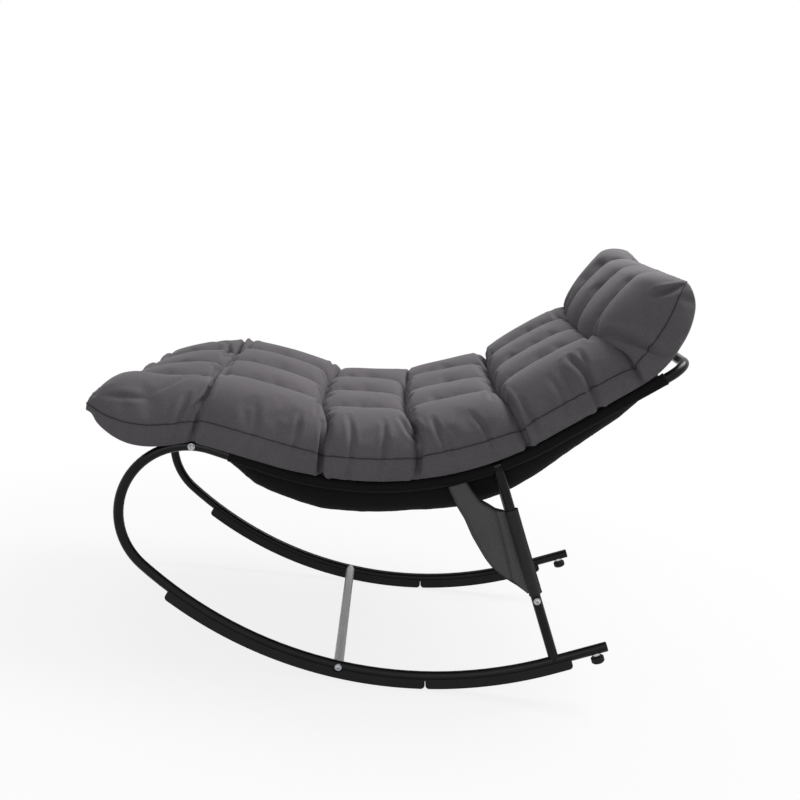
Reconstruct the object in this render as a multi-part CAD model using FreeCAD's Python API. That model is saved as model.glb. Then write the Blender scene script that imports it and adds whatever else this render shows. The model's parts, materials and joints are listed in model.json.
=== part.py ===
import FreeCAD, Part
import math
import os

from FreeCAD import Vector

# Outdoor rocking chair of bent steel tube with a sling and one thick tufted cushion.
# Millimetres, +Z up. The chair faces -X, and its left side is at -Y.

# Frame tube
TUBE_OD = 22.0
TUBE_WALL = 1.5
SPAN = 650.0
FIT_GAP = 0.3
SAME_PLACE = 1e-6

# How far forward of the drawn position the empty chair settles on its rockers
REST_LEAN = 6.6

# Side view of the rocker, as a tube bender lays it out
ROCKER_R = 915.0
TAIL_LENGTH = 122.0
TAIL_RISE = 16.0
ROCKER_FRONT_ANGLE = 44.0
LOOP_R = 153.0

# Side view of the rail
FRONT_JOINT_ANGLE = 12.0
FRONT_SLOPE = 19.0
FRONT_STRAIGHT = 131.0
SEAT_R = 720.0
BACK_SLOPE = 30.0
BACK_STRAIGHT = 278.0
TOP_BEND_R = 50.0
TOP_JOINT_BEFORE_BEND = 70.0

# Tube joints
SPIGOT_LENGTH = 45.0
SHOULDER_LENGTH = 3.0
BOLT_PAST_JOINT = 42.0

# Legs
LEG_FOOT_FROM_TAIL = 116.0
LEG_TOP_SEAT_ANGLE = 20.2
LEG_BOLT_HEIGHT = 146.0
LEG_JOINT_BELOW_BOLT = 24.0

# Cross bar
BAR_ROCKER_ANGLE = 13.6
BAR_PLUG_LENGTH = 30.0

# Runners under the rockers
RUNNER_DEPTH = 14.0
RUNNER_WIDTH = 24.0
RUNNER_GRIP = 8.0
RUNNER_FRONT_ANGLE = 39.0
RUNNER_JOINT_ANGLE = 1.6
RUNNER_JOINT_GAP = 1.5
RUNNER_REAR_REACH = 42.0
RUNNER_END_ROUND = 9.0

# Stop feet
FOOT_FROM_TAIL = 24.0
FOOT_STEM_D = 8.0
FOOT_PAD_D = 29.0
FOOT_PAD_HEIGHT = 14.0
FOOT_PAD_BEVEL = 2.5
FOOT_NECK = 5.0
FOOT_STEM_INSIDE = 10.0
INSERT_D = 12.0
INSERT_FLANGE_D = 17.0
INSERT_FLANGE = 1.5
INSERT_DEPTH = 7.0

# Tail caps
CAP_LIP = 3.0
CAP_PLUG = 16.0
CAP_BEVEL = 1.5

# Bolts
BOLT_D = 6.0
BOLT_HOLE_GAP = 0.2
BOLT_HEAD_D = 11.5
BOLT_HEAD_H = 4.0
BOLT_SOCKET_D = 5.0
BOLT_SOCKET_DEPTH = 2.5
WASHER_D = 15.0
WASHER_RIM = 1.6
NUT_D = 10.0
NUT_H = 5.0

# Sling
SLING_T = 1.5
SLEEVE_FRONT = 40.0
SLEEVE_TOP_GAP = 4.0
TROUGH_CORNER = 60.0
TROUGH_FLAT = 0.93
# Depth of the trough below the rails, at distances from where the rail leaves the front loop
TROUGH_DEPTHS = ((40.0, 30.0), (110.0, 60.0), (250.0, 80.0), (430.0, 70.0), (610.0, 70.0),
                 (760.0, 54.0), (900.0, 44.0), (1018.0, 14.0))

# Cushion, along a line that runs on from the rails: its creases, by distance from the front edge, with the
# height of its top and of its underside above the rail line there
CUSHION_BOTTOM = 13.5
CUSHION_CREASES = ((0.0, 24.0, 12.0), (230.0, 122.0, CUSHION_BOTTOM), (511.0, 132.0, CUSHION_BOTTOM),
                   (729.0, 134.0, CUSHION_BOTTOM), (974.0, 119.0, CUSHION_BOTTOM))
# The head crease, by its distance up the straight of the back, and the top edge, by its distance from there
HEAD_CREASE = (228.0, 116.0, CUSHION_BOTTOM)
HEAD_EDGE = (235.0, 104.0, 44.0)
# The stuffed pads between the creases: swell of the top, sag of the underside, and where the sag is deepest
# (below 1 nearer the front, above 1 nearer the head)
CUSHION_PADS = (("leg", 16.0, 54.0, 0.85), ("front", 30.0, 0.0, 1.0), ("seat", 20.0, 0.0, 1.0),
                ("lumbar", 28.0, 0.0, 1.0), ("back", 30.0, 0.0, 1.0), ("head", 44.0, 24.0, 1.5))
PADS_IN_SLING = ("front", "seat", "lumbar", "back")
PAD_STATIONS = (0.0, 0.08, 0.25, 0.5, 0.75, 0.92, 1.0)
PUFF_POWER = 0.7
CUSHION_REACH = 274.0
HEAD_BEND_R = 150.0
HEAD_TILT = 30.0
EDGE_ROUND = 40.0
EDGE_T = 16.0
CUSHION_OVERHANG = 18.0
CUSHION_BULGE = 19.0
CUSHION_FOOT_IN = 12.0
BELLY_IN = 9.0
BELLY_SPARE = 6.0
BELLY_LIP = 1.0
CHANNEL = 190.0
CHANNEL_DROP = 30.0
FULL_THICKNESS = 110.0
SHOULDER_LEVEL = 0.74
SEAM_LEVEL = 0.40
CUSHION_CLEAR = 1.2

# Side pocket on the left leg: out from the leg's axis, lowest and highest point above the leg bolt, and swell
POCKET_LOW = 12.0
POCKET_HEM = 212.0
POCKET_T = 1.2
POCKET_OUTLINE = ((50.0, 50.0, 238.0, 16.0), (87.0, 150.0, 248.0, 6.0), (99.0, 226.0, 252.0, 0.0))

# Worked out from the sizes above
TUBE_R = TUBE_OD / 2
BORE_R = TUBE_R - TUBE_WALL
SPIGOT_R = BORE_R - FIT_GAP
SPIGOT_BORE_R = SPIGOT_R - TUBE_WALL
SIDE_Y = SPAN / 2
SLEEVE_R = TUBE_R + FIT_GAP
SLEEVE_OUT_R = SLEEVE_R + SLING_T
SLING_HALF = SIDE_Y - SLEEVE_OUT_R - FIT_GAP
BELLY_HALF = SLING_HALF - BELLY_IN
CUSHION_HALF_WIDTH = SIDE_Y + CUSHION_OVERHANG
ROLL_R = ROCKER_R + TUBE_R + RUNNER_DEPTH
Y_AXIS = Vector(0, 1, 0)
SIDES = (("left", -1), ("right", 1))


class SidePath:
    """A bent line in the side view: straight feeds and bends, with the outside of the tube on its left."""

    def __init__(self, x, z, heading):
        self.runs = []
        self.end = (x, z, heading)
        self.length = 0.0

    def straight(self, length):
        x, z, heading = self.end
        self.runs.append((self.length, length, self.end, None))
        turn = math.radians(heading)
        self.end = (x + length * math.cos(turn), z + length * math.sin(turn), heading)
        self.length += length
        return self

    def bend(self, radius, degrees):
        """Turns to the left for a positive angle, to the right for a negative one."""
        reach = math.copysign(radius, degrees)
        length = radius * math.radians(abs(degrees))
        self.runs.append((self.length, length, self.end, reach))
        x, z = self.centre(self.end, reach)
        heading = self.end[2] + degrees
        turn = math.radians(heading)
        self.end = (x + reach * math.sin(turn), z - reach * math.cos(turn), heading)
        self.length += length
        return self

    @staticmethod
    def centre(state, signed_radius):
        x, z, heading = state
        turn = math.radians(heading)
        return x - signed_radius * math.sin(turn), z + signed_radius * math.cos(turn)

    def state(self, distance):
        """Point and heading at a distance along the line."""
        for start, length, begin, radius in self.runs:
            if distance <= start + length or (start, length, begin, radius) == self.runs[-1]:
                part = SidePath(*begin)
                if radius is None:
                    return part.straight(distance - start).end
                return part.bend(abs(radius), math.degrees((distance - start) / radius)).end

    def frame(self, distance):
        """Origin, and the direction to the left of the line, at a distance along it."""
        x, z, heading = self.state(distance)
        turn = math.radians(heading)
        return Vector(x, 0, z), Vector(-math.sin(turn), 0, math.cos(turn))

    def sweep(self, profile, first, last):
        """Carries a flat profile (a function of the distance that returns a face) along part of the line."""
        pieces = []
        for start, length, begin, radius in self.runs:
            low, high = max(first, start), min(last, start + length)
            if high - low < SAME_PLACE:
                continue
            face = profile(low)
            if radius is None:
                turn = math.radians(begin[2])
                pieces.append(face.extrude(Vector(math.cos(turn), 0, math.sin(turn)) * (high - low)))
            else:
                x, z = self.centre(begin, radius)
                axis = Vector(0, -math.copysign(1, radius), 0)
                pieces.append(face.revolve(Vector(x, 0, z), axis, math.degrees((high - low) / abs(radius))))
        return joined(pieces)


def joined(pieces):
    """One solid from pieces that meet face to face."""
    if len(pieces) == 1:
        return pieces[0]
    whole = pieces[0].multiFuse(pieces[1:]).removeSplitter()
    return whole.Solids[0] if len(whole.Solids) == 1 else whole


def bent_rod(path, first, last, radius):
    """A round rod along part of a line."""
    def profile(distance):
        point, left = path.frame(distance)
        return Part.Face(Part.Wire(Part.makeCircle(radius, point, Y_AXIS.cross(left))))
    return path.sweep(profile, first, last)


def bent_tube(path, first, last, outer=TUBE_R, inner=BORE_R):
    return bent_rod(path, first, last, outer).cut(bent_rod(path, first, last, inner))


def straight_rod(start, end, radius):
    return Part.makeCylinder(radius, (end - start).Length, start, end - start)


def straight_tube(start, end, outer=TUBE_R, inner=BORE_R):
    return straight_rod(start, end, outer).cut(straight_rod(start, end, inner))


def on_side(shape, side):
    """Moves a piece from the middle plane to the left (-1) or right (+1) frame side."""
    return shape.translated(Vector(0, side * SIDE_Y, 0))


def mirrored(shape):
    return shape.mirror(Vector(0, 0, 0), Y_AXIS)


# The side line of one frame side: tail, rocker, front loop, then the rail to the start of the top bend
rocker_centre = Vector(0, 0, ROLL_R)
tail_turn = math.radians(TAIL_RISE)
tail_x = ROCKER_R * math.sin(tail_turn) + TAIL_LENGTH * math.cos(tail_turn)
tail_z = ROLL_R - ROCKER_R * math.cos(tail_turn) + TAIL_LENGTH * math.sin(tail_turn)
side_line = SidePath(tail_x, tail_z, 180 + TAIL_RISE)
side_line.straight(TAIL_LENGTH)
side_line.bend(ROCKER_R, -(TAIL_RISE + ROCKER_FRONT_ANGLE))
side_line.bend(LOOP_R, -(180 - ROCKER_FRONT_ANGLE - FRONT_JOINT_ANGLE))
front_joint = side_line.length
side_line.bend(LOOP_R, -(FRONT_JOINT_ANGLE + FRONT_SLOPE))
rail_start = side_line.length
side_line.straight(FRONT_STRAIGHT)
seat_start = side_line.length
side_line.bend(SEAT_R, FRONT_SLOPE + BACK_SLOPE)
back_start = side_line.length
side_line.straight(BACK_STRAIGHT)
top_bend = side_line.length
top_joint = top_bend - TOP_JOINT_BEFORE_BEND


def rocker_distance(angle):
    """Distance along the side line of a place on the rocker arc, by its angle ahead of the lowest point."""
    return TAIL_LENGTH + ROCKER_R * math.radians(TAIL_RISE + angle)


runner_joint = rocker_distance(RUNNER_JOINT_ANGLE)
leg_foot, _ = side_line.frame(LEG_FOOT_FROM_TAIL)
leg_top, _ = side_line.frame(seat_start + SEAT_R * math.radians(FRONT_SLOPE + LEG_TOP_SEAT_ANGLE))
leg_axis = (leg_top - leg_foot).normalize()
leg_bolt = leg_foot + leg_axis * LEG_BOLT_HEIGHT
leg_joint = leg_bolt - leg_axis * LEG_JOINT_BELOW_BOLT
bar_point, _ = side_line.frame(rocker_distance(BAR_ROCKER_ANGLE))
front_bolt, _ = side_line.frame(front_joint + BOLT_PAST_JOINT)
foot_point, foot_axis = side_line.frame(FOOT_FROM_TAIL)


def bolt_hole(point):
    """A hole for a cross bolt, through a tube from side to side."""
    return Part.makeCylinder(BOLT_D / 2 + BOLT_HOLE_GAP, 2 * TUBE_OD, point - Y_AXIS * TUBE_OD, Y_AXIS)


def spigot_end(path, joint):
    """The drawn-down end of a tube, which slides into the next one."""
    shoulder = bent_tube(path, joint - SHOULDER_LENGTH, joint, TUBE_R, SPIGOT_BORE_R)
    spigot = bent_tube(path, joint, joint + SPIGOT_LENGTH + BOLT_PAST_JOINT, SPIGOT_R, SPIGOT_BORE_R)
    return shoulder, spigot


def rocker_tube():
    shoulder, spigot = spigot_end(side_line, front_joint)
    tube = joined([bent_tube(side_line, 0, front_joint - SHOULDER_LENGTH), shoulder, spigot])
    insert_hole = Part.makeCylinder(INSERT_D / 2, TUBE_OD, foot_point, foot_axis)
    return tube.cut([bolt_hole(front_bolt), bolt_hole(bar_point), insert_hole])


def side_rail():
    tube = bent_tube(side_line, front_joint, top_joint)
    return tube.cut(bolt_hole(front_bolt))


def top_rail():
    """The U-shaped tube behind the headrest, bent in the plane of the back."""
    start, up = side_line.frame(top_joint)
    back = Vector(math.cos(math.radians(BACK_SLOPE)), 0, math.sin(math.radians(BACK_SLOPE)))
    near_start = start - Y_AXIS * SIDE_Y
    bend_start = near_start + back * TOP_JOINT_BEFORE_BEND
    bend_centre = bend_start + Y_AXIS * TOP_BEND_R
    cross_start = bend_centre + back * TOP_BEND_R
    middle = Vector(cross_start.x, 0, cross_start.z)

    shoulder_end = near_start + back * SHOULDER_LENGTH
    spigot = straight_tube(near_start - back * SPIGOT_LENGTH, near_start, SPIGOT_R, SPIGOT_BORE_R)
    shoulder = straight_tube(near_start, shoulder_end, TUBE_R, SPIGOT_BORE_R)
    straight = straight_tube(shoulder_end, bend_start)
    rims = [Part.Wire(Part.makeCircle(r, bend_start, back)) for r in (TUBE_R, BORE_R)]
    elbow = Part.Face(rims).revolve(bend_centre, up, 90)
    half = [spigot, shoulder, straight, elbow, straight_tube(cross_start, middle)]
    return joined(half + [mirrored(piece) for piece in half])


def upper_leg():
    tube = straight_tube(leg_joint, leg_top)
    rail_skin = bent_rod(side_line, seat_start, back_start, TUBE_R)
    return tube.cut([rail_skin, bolt_hole(leg_bolt)])


def lower_leg():
    shoulder_start = leg_joint - leg_axis * SHOULDER_LENGTH
    spigot_top = leg_bolt + leg_axis * SPIGOT_LENGTH
    tube = joined([straight_tube(leg_foot, shoulder_start),
                   straight_tube(shoulder_start, leg_joint, TUBE_R, SPIGOT_BORE_R),
                   straight_tube(leg_joint, spigot_top, SPIGOT_R, SPIGOT_BORE_R)])
    rocker_skin = bent_rod(side_line, 0, rocker_distance(0), TUBE_R)
    return tube.cut([rocker_skin, bolt_hole(leg_bolt)])


def rocker_skins():
    """Both rockers as full rods near the cross bar, to shape the bar's ends."""
    middle = rocker_distance(BAR_ROCKER_ANGLE)
    skin = bent_rod(side_line, middle - 2 * TUBE_OD, middle + 2 * TUBE_OD, TUBE_R)
    return [on_side(skin, side) for _, side in SIDES]


def cross_bar():
    ends = [bar_point + Y_AXIS * side * SIDE_Y for _, side in SIDES]
    return straight_tube(ends[0], ends[1]).cut(rocker_skins())


def bar_plugs():
    """Threaded plugs in the ends of the cross bar, one solid each."""
    plugs = []
    for _, side in SIDES:
        seat = bar_point + Y_AXIS * side * SIDE_Y
        inner_end = seat - Y_AXIS * side * (TUBE_R + BAR_PLUG_LENGTH)
        plug = straight_tube(seat, inner_end, SPIGOT_R, BOLT_D / 2 + BOLT_HOLE_GAP)
        plugs.append(plug.cut(rocker_skins()))
    return Part.makeCompound(plugs)


def runner(first, last):
    """A strip that grips the underside of the rocker, notched at the cross bar and rounded at both ends."""
    half, grip, foot = RUNNER_WIDTH / 2, TUBE_R - RUNNER_GRIP, TUBE_R + RUNNER_DEPTH

    def profile(distance):
        point, down = side_line.frame(distance)
        corners = [point + Y_AXIS * y + down * n for y, n in
                   ((-half, grip), (half, grip), (half, foot), (-half, foot))]
        return Part.Face(Part.makePolygon(corners + corners[:1]))

    strip = side_line.sweep(profile, first, last)
    bar_notch = Part.makeCylinder(TUBE_R + FIT_GAP, RUNNER_WIDTH, bar_point - Y_AXIS * half, Y_AXIS)
    strip = strip.cut([bent_rod(side_line, 0, front_joint, TUBE_R), bar_notch])
    ends = []
    for distance in (first, last):
        point, down = side_line.frame(distance)
        corner = point + down * foot
        ends += [edge for edge in strip.Edges if (edge.CenterOfMass - corner).Length < FIT_GAP]
    return strip.makeFillet(RUNNER_END_ROUND, ends)


def tail_cap():
    point, _ = side_line.frame(0)
    tail = Vector(math.cos(tail_turn), 0, math.sin(tail_turn))
    lip = Part.makeCylinder(TUBE_R, CAP_LIP, point, tail)
    rim = [edge for edge in lip.Edges if (edge.CenterOfMass - point - tail * CAP_LIP).Length < FIT_GAP]
    lip = lip.makeChamfer(CAP_BEVEL, rim[:1])
    return joined([lip, Part.makeCylinder(BORE_R, CAP_PLUG, point, -tail)])


def foot_insert():
    """The flanged threaded insert in the underside of the tail."""
    flange_end = TUBE_R + INSERT_FLANGE
    body = Part.makeCylinder(INSERT_D / 2, flange_end - (TUBE_R - INSERT_DEPTH),
                             foot_point + foot_axis * (TUBE_R - INSERT_DEPTH), foot_axis)
    flange = Part.makeCylinder(INSERT_FLANGE_D / 2, flange_end, foot_point, foot_axis)
    flange = flange.cut(bent_rod(side_line, 0, TAIL_LENGTH, TUBE_R))
    bore = Part.makeCylinder(FOOT_STEM_D / 2 + FIT_GAP, TUBE_OD, foot_point, foot_axis)
    return joined([body, flange]).cut(bore)


def foot_stem():
    """The screw of a stop foot, from inside the tail to inside the pad."""
    start = foot_point + foot_axis * (TUBE_R - FOOT_STEM_INSIDE)
    length = FOOT_STEM_INSIDE + FOOT_NECK + FOOT_PAD_HEIGHT / 2
    return Part.makeCylinder(FOOT_STEM_D / 2, length, start, foot_axis)


def foot_pad():
    start = foot_point + foot_axis * (TUBE_R + FOOT_NECK)
    pad = Part.makeCylinder(FOOT_PAD_D / 2, FOOT_PAD_HEIGHT, start, foot_axis)
    rims = [edge for edge in pad.Edges if edge.isClosed()]
    return pad.makeChamfer(FOOT_PAD_BEVEL, rims).cut(foot_stem())


def turned(profile, point, side):
    """Turns a profile of (radius, distance out from the tube's centre) about a cross bolt's axis."""
    out = Vector(0, side, 0)
    corners = [point + Vector(radius, 0, 0) + out * distance for radius, distance in profile]
    face = Part.Face(Part.makePolygon(corners + corners[:1]))
    return face.revolve(point, out, 360)


def washer_face():
    return TUBE_R + WASHER_RIM


def saddle_washer(point, skin):
    """A washer under the bolt's head, hollowed to sit on the tube, on the middle plane."""
    hole = BOLT_D / 2 + BOLT_HOLE_GAP
    rim, face = WASHER_D / 2, washer_face()
    return turned(((hole, 0), (rim, 0), (rim, face), (hole, face)), point, -1).cut(skin)


def bolt(point, tip):
    """A button-head bolt with a socket, its head on the outside and its tip at a distance past the centre."""
    face, radius = washer_face(), BOLT_D / 2
    top, socket = face + BOLT_HEAD_H, BOLT_SOCKET_D / 2
    crown = BOLT_HEAD_D / 2 - BOLT_HEAD_H / 2
    return turned(((0, -tip), (radius, -tip), (radius, face), (BOLT_HEAD_D / 2, face),
                   (BOLT_HEAD_D / 2, face + BOLT_HEAD_H / 2), (crown, top), (socket, top),
                   (socket, top - BOLT_SOCKET_DEPTH), (0, top - BOLT_SOCKET_DEPTH)), point, -1)


def cap_nut(point, skin):
    """A domed nut on the inside of the tube, hollowed to sit on it."""
    radius, top = BOLT_D / 2 + BOLT_HOLE_GAP, TUBE_R + WASHER_RIM + NUT_H
    blank = turned(((radius, 0), (NUT_D / 2, 0), (NUT_D / 2, top - NUT_H / 2), (NUT_D / 4, top), (0, top),
                    (0, top - WASHER_RIM), (radius, top - WASHER_RIM)), point, 1)
    return blank.cut(skin)


def both_sides(left_piece):
    """A pair of solids: a piece on the left frame side and its mirror on the right."""
    left = on_side(left_piece, -1)
    return Part.makeCompound([left, mirrored(left)])


def trough_depth(distance):
    """Depth of the sling below the rails, between the stations of TROUGH_DEPTHS."""
    (low, depth), *rest = TROUGH_DEPTHS
    for high, next_depth in rest:
        if distance <= high:
            share = max(0.0, (distance - low) / (high - low))
            return depth + share * (next_depth - depth)
        low, depth = high, next_depth
    return depth


def trough_curve(point, up, half, depth):
    """The sling's cross-section: rounded corners by the rails and a slightly curved bottom."""
    def at(y, n):
        return point + Y_AXIS * y + up * n
    corner, shelf, bow = half - TROUGH_CORNER, -depth * TROUGH_FLAT, math.sqrt(0.5)
    left = Part.Arc(at(-half, 0), at(-half + TROUGH_CORNER * (1 - bow), shelf * bow), at(-corner, shelf))
    floor = Part.Arc(at(-corner, shelf), at(0, -depth), at(corner, shelf))
    right = Part.Arc(at(corner, shelf), at(half - TROUGH_CORNER * (1 - bow), shelf * bow), at(half, 0))
    return [arc.toShape() for arc in (left, floor, right)], at(-half, 0), at(half, 0)


def trough_stations():
    for distance, depth in TROUGH_DEPTHS:
        point, up = side_line.frame(rail_start + distance)
        yield point, up, depth


def sling_panel():
    wires = []
    for point, up, depth in trough_stations():
        outer, left_out, right_out = trough_curve(point, up, SLING_HALF, depth)
        inner, left_in, right_in = trough_curve(point, up, SLING_HALF - SLING_T, depth - SLING_T)
        left_end, right_end = Part.makeLine(left_in, left_out), Part.makeLine(right_out, right_in)
        wires.append(Part.Wire(outer + [right_end] + inner[::-1] + [left_end]))
    return Part.makeLoft(wires, True, True)


def below_sling():
    """The space under the cushion: everything below a skin just clear of the sling's upper face."""
    wires = []
    for point, up, depth in trough_stations():
        half = SLING_HALF - SLING_T - CUSHION_CLEAR
        curve, left, right = trough_curve(point, up, half, depth - SLING_T - CUSHION_CLEAR)
        floor = up * -(2 * TROUGH_CORNER + depth)
        edges = curve + [Part.makeLine(right, right + floor), Part.makeLine(right + floor, left + floor),
                         Part.makeLine(left + floor, left)]
        wires.append(Part.Wire(edges))
    return Part.makeLoft(wires, True, True)


def sling_sleeve():
    first = rail_start + SLEEVE_FRONT
    sleeve = bent_tube(side_line, first, top_bend - SLEEVE_TOP_GAP, SLEEVE_OUT_R, SLEEVE_R)
    leg_slot = straight_rod(leg_joint, leg_top, SLEEVE_R)
    return sleeve.cut(leg_slot)


# The cushion's line runs on from the rail to the front, and turns up at the head
front_x, front_z, front_heading = side_line.state(rail_start)
front_turn = math.radians(front_heading)
cushion_line = SidePath(front_x - CUSHION_REACH * math.cos(front_turn),
                        front_z - CUSHION_REACH * math.sin(front_turn), front_heading)
cushion_line.straight(CUSHION_REACH + FRONT_STRAIGHT)
cushion_line.bend(SEAT_R, FRONT_SLOPE + BACK_SLOPE)
cushion_line.straight(HEAD_CREASE[0])
head_crease = (cushion_line.length,) + HEAD_CREASE[1:]
head_edge = (cushion_line.length + HEAD_EDGE[0],) + HEAD_EDGE[1:]
cushion_line.bend(HEAD_BEND_R, HEAD_TILT)
cushion_line.straight(head_edge[0] - cushion_line.length)
creases = CUSHION_CREASES + (head_crease, head_edge)


def cushion_section(distance, bottom, crown, half_width, belly):
    """One cross-section: foot on the rails, bulging sides, four stuffed channels and a belly in the sling."""
    point, up = cushion_line.frame(distance)

    def at(y, n):
        return point + Y_AXIS * y + up * n

    def arc(*places):
        return Part.Arc(*[at(y, n) for y, n in places]).toShape()

    thick = crown - bottom
    full = min(1.0, thick / FULL_THICKNESS)
    groove = crown - CHANNEL_DROP * full
    shoulder = bottom + SHOULDER_LEVEL * thick
    seam = bottom + SEAM_LEVEL * thick
    edge = half_width - CUSHION_BULGE * full
    foot = half_width - (half_width - CUSHION_HALF_WIDTH + CUSHION_FOOT_IN) * full
    low_corners = [(-foot, bottom)]
    if belly:
        low_corners += [(-BELLY_HALF, bottom), (-BELLY_HALF, -belly)]
        low_corners += [(BELLY_HALF, -belly), (BELLY_HALF, bottom)]
    low_corners.append((foot, bottom))
    edges = [Part.makeLine(at(*a), at(*b)) for a, b in zip(low_corners, low_corners[1:])]
    edges.append(arc((foot, bottom), (half_width, seam), (edge, shoulder)))
    marks = [edge, CHANNEL, 0.0, -CHANNEL, -edge]
    heights = [shoulder, groove, groove, groove, shoulder]
    for i in range(len(marks) - 1):
        middle = (marks[i] + marks[i + 1]) / 2
        edges.append(arc((marks[i], heights[i]), (middle, crown), (marks[i + 1], heights[i + 1])))
    edges.append(arc((-edge, shoulder), (-half_width, seam), (-foot, bottom)))
    return Part.Wire(edges)


def belly_depth(distance, bottom):
    """How far a pad in the sling reaches below the rails, before the sling's shape is cut from it."""
    along_rail = distance - CUSHION_REACH
    if along_rail > TROUGH_DEPTHS[0][0]:
        return trough_depth(along_rail) + BELLY_SPARE
    return BELLY_LIP - bottom


def rounded_off(distance, crown, bottom):
    """Draws the top and underside together near the cushion's front edge and top edge."""
    edge = min(distance, cushion_line.length - distance)
    if edge >= EDGE_ROUND:
        return crown, bottom
    full = math.sqrt(1 - (1 - edge / EDGE_ROUND) ** 2)
    _, end_crown, end_bottom = creases[0] if distance < EDGE_ROUND else creases[-1]
    level = (end_crown + end_bottom) / 2
    crown = max(level + full * (crown - level), level + EDGE_T / 2)
    bottom = min(level + full * (bottom - level), level - EDGE_T / 2)
    return crown, bottom


def stuffed_pad(first, last, swell, sag, lean, belly):
    """A pad between two creases: its top and sides swell between them as a stuffed channel does."""
    wires = []
    for share in PAD_STATIONS:
        distance, crown, bottom = [a + share * (b - a) for a, b in zip(first, last)]
        puff = math.sin(math.pi * share) ** PUFF_POWER
        crown += swell * puff
        bottom -= sag * math.sin(math.pi * share ** lean)
        crown, bottom = rounded_off(distance, crown, bottom)
        depth = belly_depth(distance, bottom) if belly else 0.0
        half_width = CUSHION_HALF_WIDTH + CUSHION_BULGE * puff
        wires.append(cushion_section(distance, bottom, crown, half_width, depth))
    return Part.makeLoft(wires, True, True)


def cushion_pads():
    pads = {}
    under = below_sling()
    for (name, swell, sag, lean), first, last in zip(CUSHION_PADS, creases, creases[1:]):
        in_sling = name in PADS_IN_SLING
        pad = stuffed_pad(first, last, swell, sag, lean, in_sling)
        pads[f"cushion_{name}_pad"] = pad.cut(under) if in_sling else pad
    return pads


def pocket_section(reach, low, high, side, swell):
    """A thin strip of pocket cloth beside the leg, from its lowest to its highest point."""
    across = leg_axis.cross(Y_AXIS)
    base, out = leg_bolt + across * reach, Vector(0, side, 0)
    inner = [base + leg_axis * low + out * FIT_GAP, base + leg_axis * high + out * (FIT_GAP + swell)]
    strip = inner + [corner + out * POCKET_T for corner in inner[::-1]]
    return Part.makePolygon(strip + strip[:1])


def pocket_outer_panel():
    """The pocket's bag: sewn to the leg's sleeve, below and in front, and open along its hem."""
    seam = SLEEVE_OUT_R + FIT_GAP
    rows = ((seam, POCKET_LOW, POCKET_HEM, 0.0),) + POCKET_OUTLINE
    wires = [pocket_section(reach, low, high, -1, swell) for reach, low, high, swell in rows]
    return Part.makeLoft(wires, True, True)


def pocket_inner_panel():
    """The pocket's flat back, which goes up to the sleeve of the rail."""
    seam, rail_height = SLEEVE_OUT_R + FIT_GAP, (leg_top - leg_bolt).Length
    rows = ((seam, POCKET_LOW),) + tuple((reach, low) for reach, low, _, _ in POCKET_OUTLINE)
    wires = [pocket_section(reach, low, rail_height, 1, 0.0) for reach, low in rows]

    def above_rail(distance):
        point, up = side_line.frame(distance)
        corners = [point + Y_AXIS * y + up * n for y, n in
                   ((-TUBE_R, -seam), (TUBE_R, -seam), (TUBE_R, rail_height), (-TUBE_R, rail_height))]
        return Part.Face(Part.makePolygon(corners + corners[:1]))

    return Part.makeLoft(wires, True, True).cut(side_line.sweep(above_rail, seat_start, back_start))


def pocket_sleeve():
    return straight_tube(leg_bolt + leg_axis * POCKET_LOW, leg_bolt + leg_axis * POCKET_HEM,
                         SLEEVE_OUT_R, SLEEVE_R)


def all_parts():
    parts = {"top_rail": top_rail(), "cross_bar": cross_bar(), "cross_bar_plugs": bar_plugs()}
    front_skin = bent_rod(side_line, front_joint, rail_start, TUBE_R)
    leg_skin = straight_rod(leg_joint, leg_top, TUBE_R)
    bar_skin = bent_rod(side_line, rocker_distance(0), rocker_distance(ROCKER_FRONT_ANGLE), TUBE_R)
    joints = (("front_joint", front_bolt, front_skin), ("leg_joint", leg_bolt, leg_skin))
    for name, point, skin in joints:
        parts[name + "_bolts"] = both_sides(bolt(point, TUBE_R + NUT_H - FIT_GAP))
        parts[name + "_washers"] = both_sides(saddle_washer(point, skin))
        parts[name + "_nuts"] = both_sides(cap_nut(point, skin))
    parts["cross_bar_bolts"] = both_sides(bolt(bar_point, TUBE_R + BAR_PLUG_LENGTH / 2))
    parts["cross_bar_washers"] = both_sides(saddle_washer(bar_point, bar_skin))

    one_side = {
        "rocker_tube": rocker_tube(),
        "side_rail": side_rail(),
        "upper_leg": upper_leg(),
        "lower_leg": lower_leg(),
        "rear_runner": runner(TAIL_LENGTH - RUNNER_REAR_REACH, runner_joint - RUNNER_JOINT_GAP),
        "front_runner": runner(runner_joint, rocker_distance(RUNNER_FRONT_ANGLE)),
        "tail_cap": tail_cap(),
        "foot_insert": foot_insert(),
        "foot_stem": foot_stem(),
        "foot_pad": foot_pad(),
        "sling_sleeve": sling_sleeve(),
    }
    for name, shape in one_side.items():
        for side_name, side in SIDES:
            parts[f"{side_name}_{name}"] = on_side(shape, side)

    parts["sling_panel"] = sling_panel()
    parts.update(cushion_pads())
    parts["pocket_outer_panel"] = on_side(pocket_outer_panel(), -1)
    parts["pocket_inner_panel"] = on_side(pocket_inner_panel(), -1)
    parts["pocket_sleeve"] = on_side(pocket_sleeve(), -1)
    return parts


def main():
    parts = {name: shape.rotated(rocker_centre, Y_AXIS, -REST_LEAN) for name, shape in all_parts().items()}
    box = Part.makeCompound(list(parts.values())).optimalBoundingBox(False, False)
    origin = Vector((box.XMin + box.XMax) / 2, (box.YMin + box.YMax) / 2, box.ZMin)
    os.makedirs("parts", exist_ok=True)
    for name, shape in parts.items():
        placed = shape.translated(-origin)
        placed.exportStep(f"parts/{name}.step")
        print(name, "valid" if placed.isValid() else "INVALID", len(placed.Solids), round(placed.Volume))
    print("origin shift", origin, "size", box.XLength, box.YLength, box.ZLength)


main()
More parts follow.
